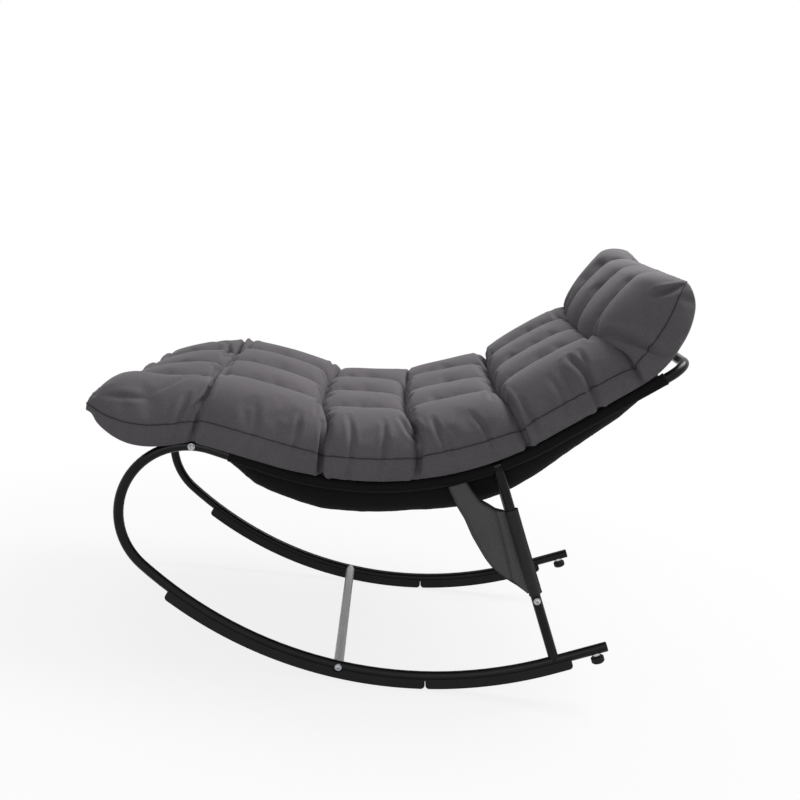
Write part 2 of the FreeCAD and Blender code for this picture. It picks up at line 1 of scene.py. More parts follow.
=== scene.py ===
import json
from math import cos, pi, radians, sin, sqrt

import bpy
import numpy as np
from mathutils import Matrix, Vector, noise


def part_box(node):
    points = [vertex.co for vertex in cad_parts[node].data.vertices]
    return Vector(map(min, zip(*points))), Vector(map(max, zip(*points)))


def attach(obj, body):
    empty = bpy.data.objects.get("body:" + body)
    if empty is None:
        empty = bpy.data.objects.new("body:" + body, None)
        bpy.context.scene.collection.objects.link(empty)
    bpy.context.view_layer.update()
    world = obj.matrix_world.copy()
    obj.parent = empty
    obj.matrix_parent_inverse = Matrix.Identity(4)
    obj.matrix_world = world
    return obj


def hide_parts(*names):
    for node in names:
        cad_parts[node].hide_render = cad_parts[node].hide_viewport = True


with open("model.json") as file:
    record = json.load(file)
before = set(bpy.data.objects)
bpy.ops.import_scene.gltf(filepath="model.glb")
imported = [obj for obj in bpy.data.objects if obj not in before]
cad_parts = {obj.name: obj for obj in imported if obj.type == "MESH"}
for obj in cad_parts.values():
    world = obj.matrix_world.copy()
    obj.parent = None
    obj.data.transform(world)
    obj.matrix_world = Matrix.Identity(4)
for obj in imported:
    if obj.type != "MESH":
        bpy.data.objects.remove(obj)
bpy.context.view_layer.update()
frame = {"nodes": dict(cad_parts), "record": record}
nodes = frame["nodes"]
scene = bpy.context.scene

# The chair is drawn in millimetres in the position of the photograph, then leaned to where it rests
# when it is empty.
MM = 0.001
ROLL_HEIGHT = 940.0
LEAN = radians(6.6)
BAR_ANGLE = radians(13.6)
ROCKER_R = 915.0
SIDE_Y = 325.0
SLEEVE_R = 12.8

bar_low, bar_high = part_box("cross_bar")
lean_turn = Matrix.Rotation(-LEAN, 4, "Y")
bar_at = lean_turn @ Vector((-ROCKER_R * sin(BAR_ANGLE), 0, -ROCKER_R * cos(BAR_ANGLE))) * MM
SHIFT = (bar_low.x + bar_high.x) / 2 - bar_at.x
lift_back = Matrix.Translation((SHIFT, 0, ROLL_HEIGHT * MM))
TO_ROW = lift_back @ lean_turn @ Matrix.Translation((0, 0, -ROLL_HEIGHT * MM))
TURN = np.array(TO_ROW.to_3x3())
MOVE = np.array(TO_ROW.translation)


def to_row(points):
    """Drawn millimetres to the row frame's metres."""
    return np.asarray(points, float) * MM @ TURN.T + MOVE


class SideLine:
    """A bent line in the side view: straight runs and bends, with a normal to its left."""

    def __init__(self, x, z, heading, runs):
        self.runs = []
        self.length = 0.0
        for length, turn in runs:
            self.runs.append((self.length, length, x, z, heading, turn))
            x, z, heading = self.step(x, z, heading, turn, length, length)
            self.length += length

    @staticmethod
    def step(x, z, heading, turn, length, part):
        if turn == 0:
            return x + part * np.cos(heading), z + part * np.sin(heading), heading + 0 * part
        radius = length / turn
        new = heading + part / radius
        return x + radius * (np.sin(new) - np.sin(heading)), z - radius * (np.cos(new) - np.cos(heading)), new

    def at(self, distance):
        """Points (n, 2), tangents and normals at distances along the line."""
        d = np.atleast_1d(np.asarray(distance, float))
        x, z, h = np.empty((3, len(d)))
        for i, (start, length, x0, z0, h0, turn) in enumerate(self.runs):
            here = (d >= start) | (i == 0)
            x[here], z[here], h[here] = self.step(x0, z0, h0, turn, length, d[here] - start)
        along = np.stack([np.cos(h), np.sin(h)], -1)
        up = np.stack([-np.sin(h), np.cos(h)], -1)
        return np.stack([x, z], -1), along, up


# The cushion and the rails start with one straight run. The cushion's goes further to the front.
CUSHION_REACH = 274.0
FRONT_HEADING = radians(-19.0)
FRONT_RUN = 131.0
SEAT_R = 720.0
SEAT_TURN = radians(49.0)
SEAT_LENGTH = SEAT_R * SEAT_TURN
BACK_RUN = 278.0
RAIL_LENGTH = FRONT_RUN + SEAT_LENGTH + BACK_RUN
HEAD_AFTER = 228.0
HEAD_LENGTH = 235.0
HEAD_R = 150.0
HEAD_TURN = radians(30.0)
HEAD_BEND = HEAD_R * HEAD_TURN
START = (-738.58, 625.74)
HEAD_CREASE = CUSHION_REACH + FRONT_RUN + SEAT_LENGTH + HEAD_AFTER
cushion_line = SideLine(*START, FRONT_HEADING,
                        [(CUSHION_REACH + FRONT_RUN, 0), (SEAT_LENGTH, SEAT_TURN), (HEAD_AFTER, 0),
                         (HEAD_BEND, HEAD_TURN), (HEAD_LENGTH - HEAD_BEND, 0)])
rail_line = SideLine(START[0] + CUSHION_REACH * cos(FRONT_HEADING),
                     START[1] + CUSHION_REACH * sin(FRONT_HEADING), FRONT_HEADING,
                     [(FRONT_RUN, 0), (SEAT_LENGTH, SEAT_TURN), (BACK_RUN, 0)])


def with_y(xz, y):
    """Points from their places in the side view and their y."""
    return np.stack([xz[..., 0], np.broadcast_to(y, xz.shape[:-1]), xz[..., 1]], -1)


def ease(x):
    x = np.clip(x, 0, 1)
    return x * x * (3 - 2 * x)


def hump(x, width):
    """A soft bump of height 1 round x = 0."""
    return np.exp(-(x / width) ** 2)


def unit(vectors):
    """Vectors made 1 long."""
    return vectors / np.maximum(np.linalg.norm(vectors, axis=-1, keepdims=True), 1e-9)


def fractal(x, y, z, scale):
    """Smooth seeded noise in about -1..1 at places in millimetres."""
    places = np.stack(np.broadcast_arrays(x, y, z), -1)
    values = [noise.fractal(Vector(p) / scale, 1.0, 2.0, 2) for p in places.reshape(-1, 3)]
    return np.reshape(values, places.shape[:-1])


def add_object(name, data):
    obj = bpy.data.objects.new(name, data)
    scene.collection.objects.link(obj)
    return obj


def mesh_object(name, points, faces):
    """A smooth mesh from a list or a grid of points."""
    mesh = bpy.data.meshes.new(name)
    places = np.reshape(np.asarray(points, float), (-1, 3))
    mesh.from_pydata([tuple(p) for p in places], [], [tuple(f) for f in faces])
    mesh.polygons.foreach_set("use_smooth", [True] * len(mesh.polygons))
    mesh.update()
    return add_object(name, mesh)


def grid_faces(rows, columns, closed=False):
    """Quads of a grid of points, row by row; closed joins the last column to the first."""
    i, j = np.meshgrid(np.arange(rows - 1), np.arange(columns if closed else columns - 1), indexing="ij")
    k = (j + 1) % columns
    quads = np.stack([i * columns + j, i * columns + k, (i + 1) * columns + k, (i + 1) * columns + j], -1)
    return quads.reshape(-1, 4)


def run_along(line):
    """Distances along a line of points, from its first one."""
    return np.concatenate([[0], np.cumsum(np.linalg.norm(np.diff(line, axis=0), axis=1))])


def grid_uv(along, across):
    """UVs of a grid of points, from one distance for each row and one for each column."""
    return np.stack(np.broadcast_arrays(along[:, None], across), -1)


def set_uv(obj, uv):
    """One UV in metres for each vertex, so that weave runs with the cloth."""
    layer = obj.data.uv_layers.new(name="cloth")
    index = np.empty(len(obj.data.loops), int)
    obj.data.loops.foreach_get("vertex_index", index)
    layer.data.foreach_set("uv", uv.reshape(-1, 2)[index].ravel())


def set_value(obj, name, values):
    attribute = obj.data.attributes.new(name, "FLOAT", "POINT")
    attribute.data.foreach_set("value", np.asarray(values, np.float32))


def values_of(obj, name):
    values = np.empty(len(obj.data.vertices), np.float32)
    obj.data.attributes[name].data.foreach_get("value", values)
    return values


def vectors_of(mesh, name="co"):
    """A vector of each vertex of a mesh, its place or its normal."""
    vectors = np.empty(len(mesh.vertices) * 3)
    mesh.vertices.foreach_get(name, vectors)
    return vectors.reshape(-1, 3)


def set_points(mesh, points):
    mesh.vertices.foreach_set("co", points.ravel())
    mesh.update()


class Paint:
    """Makes and joins the shader nodes of a material or a world."""

    # Places of the colour sockets on a mix node
    MIX_FACTOR, MIX_A, MIX_B, MIX_RESULT = 0, 6, 7, 2
    NOISE_ROUGHNESS = 0.55

    def __init__(self, owner, shader="Principled BSDF"):
        owner.use_nodes = True
        self.owner = owner
        self.tree = owner.node_tree
        self.shader = self.tree.nodes[shader]

    def feed(self, socket, value):
        """Joins another node's output to a socket, or sets the socket's own value."""
        if isinstance(value, bpy.types.NodeSocket):
            self.tree.links.new(value, socket)
        else:
            socket.default_value = value

    def node(self, kind, links=None, **values):
        made = self.tree.nodes.new(kind)
        for key, value in values.items():
            setattr(made, key, value)
        for key, value in (links or {}).items():
            self.feed(made.inputs[key], value)
        return made

    def set(self, **values):
        for key, value in values.items():
            self.feed(self.shader.inputs[key.replace("_", " ")], value)

    def noise(self, scale, detail):
        place = self.node("ShaderNodeTexCoord").outputs["Object"]
        links = {"Scale": scale, "Detail": detail, "Roughness": self.NOISE_ROUGHNESS, "Vector": place}
        return self.node("ShaderNodeTexNoise", links).outputs["Fac"]

    def ramp(self, fac, stops):
        """A colour between two stops, each a place and a colour."""
        made = self.node("ShaderNodeValToRGB", {"Fac": fac})
        for element, (place, color) in zip(made.color_ramp.elements, stops):
            element.position = place
            element.color = (*color, 1.0)
        return made.outputs["Color"]

    def span(self, fac, low, high, start=0.0, end=1.0):
        links = {"Value": fac, "From Min": start, "From Max": end, "To Min": low, "To Max": high}
        return self.node("ShaderNodeMapRange", links).outputs["Result"]

    def math(self, operation, a, b=0.0):
        return self.node("ShaderNodeMath", {0: a, 1: b}, operation=operation).outputs[0]

    def mix(self, fac, a, b):
        """From the colour of output a to the plain colour b."""
        links = {self.MIX_FACTOR: fac, self.MIX_A: a, self.MIX_B: (*b, 1.0)}
        return self.node("ShaderNodeMix", links, data_type="RGBA").outputs[self.MIX_RESULT]

    def bump(self, height, distance, strength, normal=None):
        links = {"Height": height, "Distance": distance, "Strength": strength}
        if normal is not None:
            links["Normal"] = normal
        return self.node("ShaderNodeBump", links).outputs["Normal"]


def grey(value, tint=(1.0, 1.0, 1.0)):
    """A grey, or a tint made darker or paler."""
    return tuple(value * t for t in tint)


def coated_metal(name, value, rough, gloss, tint=(1.0, 0.985, 1.01)):
    """Powder coat: a fine orange peel, slight unevenness of gloss, and a paler bloom of dust."""
    paint = Paint(bpy.data.materials.new(name))
    peel = paint.noise(900.0, 2.0)
    broad = paint.noise(14.0, 4.0)
    fine = paint.noise(2600.0, 1.0)
    dust = paint.ramp(broad, [(0.42, grey(value, tint)), (0.72, grey(value * 1.25 + 0.004, tint))])
    paint.set(Base_Color=dust, Roughness=paint.span(broad, rough - 0.05, rough + 0.09, 0.3, 0.7),
              Normal=paint.bump(fine, 0.00004, 0.4, paint.bump(peel, 0.00012, 0.5)), Specular_IOR_Level=gloss)
    return paint.owner


def plated_steel(name):
    """Zinc plate, mottled, with painted shade darkening its hollows, which are also made less metallic."""
    paint = Paint(bpy.data.materials.new(name))
    fine = paint.noise(700.0, 3.0)
    broad = paint.noise(60.0, 3.0)
    color = paint.ramp(broad, [(0.35, (0.36, 0.375, 0.395)), (0.7, (0.55, 0.565, 0.585))])
    # Ambient occlusion paints shade into the bolt sockets and other hollows.
    hollow = paint.node("ShaderNodeAmbientOcclusion", {"Distance": 0.003}, samples=8).outputs["AO"]
    painted_hollow_shade = paint.span(hollow, 0.92, 0.0, 0.25, 0.75)
    color = paint.mix(painted_hollow_shade, color, (0.012, 0.012, 0.013))
    paint.set(Base_Color=color, Metallic=paint.span(hollow, 0.2, 1.0, 0.25, 0.75),
              Roughness=paint.span(fine, 0.26, 0.42, 0.3, 0.7), Normal=paint.bump(fine, 0.00006, 0.5))
    return paint.owner


def rubbery(name, value, rough):
    """Dull rubber or plastic with a fine grain and a slightly browned bloom."""
    paint = Paint(bpy.data.materials.new(name))
    grain = paint.noise(1300.0, 3.0)
    broad = paint.noise(22.0, 4.0)
    color = paint.ramp(broad, [(0.35, grey(value)), (0.7, grey(value * 1.6, (1.0, 0.985, 0.97)))])
    paint.set(Base_Color=color, Roughness=paint.span(grain, rough - 0.08, rough + 0.1, 0.3, 0.7),
              Normal=paint.bump(grain, 0.00015, 0.6), Specular_IOR_Level=0.16)
    return paint.owner


FINE_THREAD = 0.0009
THREAD_CONTRAST = 0.25
WEAVE_RELIEF = 0.00022


def woven(name, color, thread, rough=0.9, sheen=0.12, gloss=0.25):
    """Plain weave along the cloth's own UV: threads over and under, slubs, and a broad unevenness."""
    paint = Paint(bpy.data.materials.new(name))
    uv = paint.node("ShaderNodeUVMap", uv_map="cloth").outputs["UV"]
    split = paint.node("ShaderNodeSeparateXYZ", {"Vector": uv})
    turns = pi / thread
    warp = paint.math("SINE", paint.math("MULTIPLY", split.outputs["X"], turns))
    weft = paint.math("SINE", paint.math("MULTIPLY", split.outputs["Y"], turns))
    weave = paint.math("MULTIPLY", warp, weft)
    ribs = paint.math("ADD", paint.math("ABSOLUTE", warp), paint.math("ABSOLUTE", weft))
    slub = paint.noise(420.0, 3.0)
    broad = paint.noise(9.0, 4.0)
    dark = grey(1 - THREAD_CONTRAST, color)
    pale = grey(1 + THREAD_CONTRAST, color)
    tone = paint.ramp(slub, [(0.3, dark), (0.72, pale)])
    tone = paint.mix(paint.span(weave, 0.0, 0.3, -1.0, 1.0), tone, dark)
    tone = paint.mix(paint.span(broad, 0.0, 0.35, 0.35, 0.7), tone, pale)
    # Darker along sewn lines: the thread, and painted shade in the valleys of the cushion's creases and
    # channels.
    sewn_line_shade = paint.node("ShaderNodeAttribute", attribute_name="sewn_line_shade").outputs["Fac"]
    tone = paint.mix(paint.span(sewn_line_shade, 0.0, 0.75), tone, grey(0.35, color))
    height = paint.math("ADD", paint.math("MULTIPLY", ribs, 0.35), paint.math("MULTIPLY", weave, 0.3))
    height = paint.math("ADD", height, paint.math("MULTIPLY", slub, 0.5))
    paint.set(Base_Color=tone, Roughness=paint.span(slub, rough - 0.06, rough + 0.06, 0.3, 0.7),
              Normal=paint.bump(height, WEAVE_RELIEF, 0.8), Sheen_Weight=sheen, Sheen_Roughness=0.45,
              Specular_IOR_Level=gloss)
    return paint.owner


SLOT_PAINT = {
    "frame_paint": coated_metal("frame_powder_coat", 0.0045, 0.27, 0.15),
    "cross_bar_paint": coated_metal("bar_powder_coat", 0.33, 0.3, 0.5, (1.0, 0.98, 1.05)),
    "plated_steel": plated_steel("zinc_plated_steel"),
    "runner_strip": rubbery("runner_rubber", 0.006, 0.5),
    "foot_rubber": rubbery("foot_rubber", 0.008, 0.6),
    "cap_plastic": rubbery("cap_plastic", 0.007, 0.45),
    "cushion_cloth": woven("cushion_cloth", (0.094, 0.086, 0.096), 0.0011),
    "sling_cloth": woven("sling_cloth", (0.0042, 0.004, 0.0044), FINE_THREAD, 0.8, 0.01, 0.1),
    "pocket_cloth": woven("pocket_cloth", (0.072, 0.07, 0.073), FINE_THREAD, 0.78, 0.06),
}
seam_thread = woven("seam_thread", (0.03, 0.028, 0.031), FINE_THREAD)
leg_sleeve_cloth = woven("leg_sleeve_cloth", (0.019, 0.0185, 0.0195), FINE_THREAD, 0.78, 0.05)
pocket_thread = woven("pocket_thread", (0.008, 0.0077, 0.0083), FINE_THREAD, 0.8, 0.04)
for row in frame["record"]["subparts"]:
    node = nodes[row["node"]]
    node.data.materials.clear()
    node.data.materials.append(SLOT_PAINT[row["material_slot"]])


def dress(obj, slot, *replaced, cloth=None):
    """Gives a soft piece its slot's cloth or its own, and sets it on the chair in place of its CAD solids."""
    obj.data.materials.append(cloth or SLOT_PAINT[slot])
    if "sewn_line_shade" not in obj.data.attributes:
        set_value(obj, "sewn_line_shade", np.zeros(len(obj.data.vertices)))
    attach(obj, "chair_frame")
    if replaced:
        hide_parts(*replaced)
    return obj


# The sling hangs in a trough between the rails: distances along them, and depths below them
SLING_FROM, SLING_TO = 40.0, 1018.0
TROUGH_DEPTHS = ((SLING_FROM, 30), (110, 64), (250, 82), (430, 78), (520, 86),
                 (610, 84), (760, 58), (900, 44), (SLING_TO, 14))
SLING_HALF = 311.9
TROUGH_CORNER = 60.0
TROUGH_BOW = 0.07


def trough_depth(distance):
    return np.interp(distance, *zip(*TROUGH_DEPTHS))


def trough_height(y, depth, half):
    """Height of the sling against the rails: rounded corners beside them and a gently bowed floor."""
    y = np.abs(y)
    inner = half - TROUGH_CORNER
    floor = -depth * (1 - TROUGH_BOW * (np.minimum(y, inner) / inner) ** 2)
    corner = np.clip((y - inner) / TROUGH_CORNER, 0, 1)
    return np.where(y <= inner, floor, -depth * (1 - TROUGH_BOW) * np.sqrt(1 - corner ** 2))


# The cushion's sewn lines across it: distance along it, and heights of its crown and underside from the rails
CREASES = np.array([(0, 24, 12), (230, 120, 3), (511, 128, 12.8), (729, 130, 12.8),
                    (974, 117, 12.8), (HEAD_CREASE, 114, 12.8), (HEAD_CREASE + HEAD_LENGTH, 104, 44)])
# How firmly each inner crease holds the cloth, from the near side over the ribs to the far side
GRIP_COLUMNS = (0, 16, 34, 78, 96, 112)
GRIPS = ((0.6, 0.35, 1, 1, 0, 0.1), (1, 0.9, 1, 1, 0.55, 0.6), (0.95, 0.85, 1, 1, 0.4, 0.5),
         (1, 0.95, 1, 1, 0.85, 0.9), (1, 1, 1, 1, 0.95, 0.95))
# For each pad, how far its crown swells, and how far its underside hangs, with a power for the low point
SWELL = (16, 30, 20, 28, 30, 44)
SAG = ((51, 0.85), (0, 1), (0, 1), (0, 1), (0, 1), (24, 1.5))
HALF_WIDTH = 340.0
BULGE = 24.0
PAD_DOME = (4.2, 0.55)
EVEN_PUFF = 0.8
EDGE_ROUND = 40.0
FRONT_EDGE_T = 36.0
HEAD_EDGE_T = 16.0
# Thickness at which the channels are fully deep, what it is at the front edge, and how far back that is felt
FULL_T, FRONT_DEEP_T, DEEP_REACH = 110.0, 58.0, 150.0
SEAM_SHARE = 0.42
SIDE_POWER = 2 / 2.4
FOOT_TUCK = 12.0
CHANNEL = 190.0
CROWN_Y = 262.0
CHANNEL_DROP = 30.0
NOTCH, NOTCH_REACH, NOTCH_FILL = 10.0, 7.0, 0.4
ROW_STEP = 8.0
# How the underside lies in the sling: clear of its sides, above its floor, and rounded at its rims
SLING_GAP, FLOOR_GAP, BELLY_LIFT = 4.0, 3.0, 2.0
RIM_FROM, RIM_WIDTH = 6.0, 14.0
# Counts of points over the side, down to the outer sewn line, across an inner rib and below the seam
OVER, DOWN, RIB, BELOW = 22, 10, 24, 9
CHANNEL_COLUMNS = (OVER + DOWN, OVER + DOWN + RIB, OVER + DOWN + 2 * RIB)
# Columns of points: those on top from seam to seam, then those below on the way back. ABOVE is the column of
# the point on top that each stands over or under.
TOPS = 2 * (OVER + DOWN + RIB) + 1
COLUMNS = 2 * TOPS - 2
COLUMN = np.arange(COLUMNS)
UPPER = COLUMN < TOPS
ABOVE = np.where(UPPER, COLUMN, COLUMNS - COLUMN)
# The front edge across the cushion: how far its lobes are set back, and how far the near one is raised, with
# the middle and width of the raised part as shares of the leg pad, and its rise from the edge
FRONT_SET_BACK = ((26, 44, 68, 92), (0, 26, 30, 38))
SET_BACK_REACH = 160.0
FRONT_RAISED = ((0, 12, 30, 34, 52, 58, 112), (0, 21, 21, 8, 6, 0, 0))
LOBE_AT, LOBE_WIDTH, LOBE_RISE = 0.22, 0.26, 22.0
# How far the channels draw the front edge in, how far back that is felt, and over how many columns
TUCK, TUCK_REACH, TUCK_WIDTH = 20.0, 110.0, 5.0
# The far corner of the headrest, which stands up like an ear: its column, width, height, start and run
EAR_COLUMN, EAR_WIDTH, EAR_HEIGHT = 92, 11.0, 17.0
EAR_FROM, EAR_RUN = 1340.0, 130.0
# How far the creases bow to the front across the middle of the cushion, and the columns where the bow grows
CREASE_BOW = (0, -6, -34, -22, -14, -34, 0)
BOW_FROM, BOW_OVER = 6, 34
# Folds in the cloth of the near side: depth, width, and points as (distance along the cushion, columns
# from the seam)
FOLDS = (
    (12, 6, ((495, 11), (505, 3), (515, -5), (520, -12))),
    (10, 6, ((714, 20), (735, 9), (744, 4), (728, -2), (713, -7))),
    (12, 6, ((985, 18), (990, 8), (985, 1), (980, -4), (974, -10))),
    (15, 6, ((1142, 14), (1152, 4), (1149, -1), (1142, -9))), (6, 5, ((1170, 15), (1163, 7), (1158, 2))),
    (12, 9, ((1298, 17), (1312, 9), (1326, 1), (1338, -4))), (11, 6, ((1428, 8), (1450, 4), (1474, 1))),
    (7, 6, ((566, 16), (574, 6), (576, 0), (574, -7))), (6, 6, ((656, 14), (656, 4), (650, -5))),
    (7, 6, ((696, 16), (713, 9), (738, 5))), (6, 5, ((737, 14), (758, 6))),
    (7, 6, ((782, 12), (792, 3), (801, -2))), (5, 5, ((806, 6), (816, -2))),
    (7, 6, ((1008, 9), (1014, 0), (1014, -5))), (9, 6, ((240, 22), (232, 9), (216, 4), (212, -3))),
    (8, 6, ((190, 10), (192, 3), (198, -4))), (6, 6, ((230, 2), (236, -8))),
    (4, 6, ((110, 9), (150, 15), (190, 22))), (6, 6, ((40, 7), (74, 8), (112, 9))),
    (6, 6, ((246, 90), (240, 66))), (6, 6, ((200, 86), (216, 64))), (7, 5, ((231, 78), (226, 100))),
    (7, 5, ((222, 57), (186, 52))), (6, 5, ((228, 34), (204, 24), (178, 20))), (6, 5, ((238, 34), (262, 26))),
    (5, 6, ((24, 26), (70, 30), (120, 30))), (6, 6, ((1262, 20), (1290, 24), (1330, 24))),
    (6, 6, ((880, 10), (900, 3), (905, -4))), (5, 6, ((340, 9), (352, 2), (356, -5))),
    (5, 6, ((430, 11), (440, 2), (444, -4))), (5, 6, ((1088, 10), (1092, 2), (1086, -5))),
    (6, 5, ((500, 30), (478, 22), (470, 14))), (5, 5, ((520, 34), (548, 27))),
    (6, 5, ((972, 30), (948, 23), (940, 16))), (5, 5, ((980, 34), (1010, 26))),
    (6, 5, ((1246, 34), (1216, 26), (1204, 18))),
)
# How a fold fades at its ends, how wide it is on its two sides, its lip, and the widths over which it is felt
FOLD_END, FOLD_TAPER = 0.06, 0.7
FOLD_SPREAD, FOLD_LEAN = 1.15, 0.55
FOLD_LIP, LIP_AT, FOLD_FELT = 0.35, 2.2, 5
# On the far side each fold is moved along by up to this much, and is shallower
FAR_SWAY, SWAY_STEP, FAR_SHARE = 14.0, 7.3, 0.8
# Millimetres from one column of points to the next round the side, and how many columns past the far seam
# count on from it rather than back from the near one
COLUMN_STEP = 6.2
PAST_SEAM = 40
# How firmly the seam, the front and head edges, and the sewn lines are held while the cushion is filled
SEAM_HOLD, EDGE_HOLD, SEWN_HOLD = 0.7, 0.8, 1.0
# The least grip that counts as sewn, the columns by a seam that stay free, and how dark the sewn lines are
LEAST_GRIP = 0.7
FREE_ABOVE, FREE_BELOW = 8, 6
# The creases and channels are painted darker for their thread and as painted shade in their valleys.
CREASE_LINE_SHADE, CHANNEL_LINE_SHADE = 0.8, 0.45
# Steps of the filling, and in metres the furthest that it moves a point, and the seam's cord
FILL_STEPS = 20
FILL_LIMIT = 0.014
SEAM_R, SEAM_PROUD = 0.0014, 0.0007


def cushion_rows():
    """Distances along the cushion with a row of points on every crease, and where the creases fall."""
    rows, marks = [], []
    for low, high in zip(CREASES[:-1, 0], CREASES[1:, 0]):
        marks.append(len(rows))
        t = np.linspace(0, 1, max(2, round((high - low) / ROW_STEP)), endpoint=False)
        rows += list(low + (high - low) * (0.5 * t + 0.25 * (1 - np.cos(pi * t))))
    marks.append(len(rows))
    rows.append(CREASES[-1, 0])
    return np.array(rows), marks


def dome(x, power=2.6, round_off=0.6):
    """A rounded hump from 0 at x = -1 to 1 at the middle and 0 at x = 1, steep at its ends."""
    return (1 - np.abs(x) ** power) ** round_off


def round_edge(u, crown, bottom):
    """Brings the crown and the underside together at the front and head edges."""
    edge = min(u, CREASES[-1, 0] - u)
    if edge >= EDGE_ROUND:
        return crown, bottom
    at_front = u < EDGE_ROUND
    level = CREASES[0 if at_front else -1, 1:].mean()
    least = (FRONT_EDGE_T if at_front else HEAD_EDGE_T) / 2
    full = sqrt(max(0.0, 1 - (1 - edge / EDGE_ROUND) ** 2))
    crown = max(level + full * (crown - level), level + least)
    return crown, min(level + full * (bottom - level), level - least)


def cushion_levels(u, segment, share, creased):
    """A cross-section's heights (crown, channels, seam, underside) and half widths (seam, foot)."""
    first, last = CREASES[segment:segment + 2, 1:]
    crown, bottom = first + share * (last - first)
    if creased:
        puff = dome(2 * share - 1, *PAD_DOME)
        swell = SWELL[segment] * puff
        nearest = np.min(np.abs(CREASES[1:-1, 0] - u))
        notch = hump(nearest, NOTCH_REACH)
    else:
        puff, notch = EVEN_PUFF, 0.0
        swell = puff * np.interp(u, (CREASES[:-1, 0] + CREASES[1:, 0]) / 2, SWELL)
    sag, lean = SAG[segment]
    bottom -= sag * sin(pi * share ** lean)
    crown, bottom = round_edge(u, crown + (swell - NOTCH * notch), bottom)
    thick = crown - bottom
    half = HALF_WIDTH + BULGE * puff - NOTCH * notch
    deep_t = FRONT_DEEP_T + (FULL_T - FRONT_DEEP_T) * ease(u / DEEP_REACH)
    groove = crown - CHANNEL_DROP * min(1.0, thick / deep_t) * (1 - NOTCH_FILL * notch)
    foot = half - (half - HALF_WIDTH + FOOT_TUCK) * min(1.0, thick / FULL_T)
    return crown, groove, bottom + SEAM_SHARE * thick, bottom, half, foot


def upper_points(crown, groove, seam, half):
    """Points over the top of a cross-section, from the near seam to the far one."""
    turn = np.linspace(0, pi / 2, OVER, endpoint=False)
    over_y = CROWN_Y + (half - CROWN_Y) * np.cos(turn) ** SIDE_POWER
    over_n = seam + (crown - seam) * np.sin(turn) ** SIDE_POWER
    inward = np.sin(np.linspace(0, pi / 2, DOWN, endpoint=False))
    down_y = CROWN_Y + (CHANNEL - CROWN_Y) * inward
    down_n = groove + (crown - groove) * dome(inward)
    across = np.sin(np.linspace(-pi / 2, pi / 2, RIB, endpoint=False))
    rib_n = groove + (crown - groove) * dome(across)
    rib_y = CHANNEL / 2 * (across + 1)
    y = np.concatenate([-over_y, -down_y, rib_y - CHANNEL, rib_y, [CHANNEL], down_y[::-1], over_y[::-1]])
    n = np.concatenate([over_n, down_n, rib_n, rib_n, [groove], down_n[::-1], over_n[::-1]])
    return np.stack([y, n], -1)


def lower_points(u, seam, bottom, half, foot):
    """Points under a cross-section, from the near seam to the far one: flat, or hanging in the sling."""
    turn = np.linspace(0, 1, BELOW, endpoint=False) * pi / 2
    low_y = half - (half - foot) * (1 - np.cos(turn))
    low_n = seam - (seam - bottom) * np.sin(turn)
    flat = np.linspace(-foot, foot, TOPS - 2 * BELOW)
    under = np.full(flat.shape, bottom)
    on_rail = u - CUSHION_REACH
    if SLING_FROM < on_rail < SLING_TO:
        inside = SLING_HALF - SLING_GAP
        belly = trough_height(flat, max(trough_depth(on_rail) - FLOOR_GAP, 0.0), inside)
        belly = np.where(np.abs(flat) < inside, belly, 0.0) + BELLY_LIFT
        rim = ease((np.abs(flat) - (SLING_HALF - RIM_FROM)) / RIM_WIDTH)
        under += (np.minimum(belly, bottom) - bottom) * (1 - rim)
    y = np.concatenate([-low_y, flat, low_y[::-1]])
    return np.stack([y, np.concatenate([low_n, under, low_n[::-1]])], -1)


def cushion_ring(u, segment, share, creased):
    """One cross-section in (y, height), pinched by its crease or not: over the top, and back below."""
    crown, groove, seam, bottom, half, foot = cushion_levels(u, segment, share, creased)
    under = lower_points(u, seam, bottom, half, foot)
    return np.concatenate([upper_points(crown, groove, seam, half), under[-2:0:-1]])


# The rounded lower front of the headrest, as distances along and out from the back where the headrest
# starts, and how far along the headrest it reaches
HEAD_NOSE = np.array([(0, 104), (-6, 105), (-12, 109.5), (-16.5, 118), (-18, 130), (-14.5, 142),
                      (-6.5, 153), (6, 163), (24, 174), (46, 184.5), (70, 193.5), (98.8, 202.9)])
NOSE_REACH = 190.5


def crease_grip(u):
    """How firmly the creases hold each point of the cross-section at a distance along the cushion."""
    ends = (1,) * len(GRIP_COLUMNS)
    table = np.array([ends, *GRIPS, ends])
    held = [np.interp(u, CREASES[:, 0], grips) for grips in table.T]
    return np.interp(ABOVE, GRIP_COLUMNS, held)


def head_front(u, place, up, ring, inside, ear):
    """The headrest's front in the side view: its flanks run straight from the seam to the rounded nose."""
    share = (u - HEAD_CREASE) / NOSE_REACH
    run = run_along(HEAD_NOSE)
    ahead, out = (np.interp(share * run[-1], run, HEAD_NOSE[:, i]) for i in (0, 1))
    start, along, normal = (v[0] for v in cushion_line.at(HEAD_CREASE))
    nose_end = HEAD_CREASE + NOSE_REACH
    head_along = cushion_line.at(nose_end)[1][0]
    bow_end = np.interp(nose_end, CREASES[:, 0], CREASE_BOW)
    nose = (start + (ahead + CREASE_BOW[-2] * inside * (1 - share))[:, None] * along + out * normal
            + (bow_end * inside * share + ear)[:, None] * head_along)
    seam_n, crown_n = ring[0, 1], ring[:TOPS, 1].max()
    height = np.clip((ring[:, 1:2] - seam_n) / (crown_n - seam_n), 0, 1)
    seam_xz = place + seam_n * up
    return seam_xz + height * (nose - seam_xz)


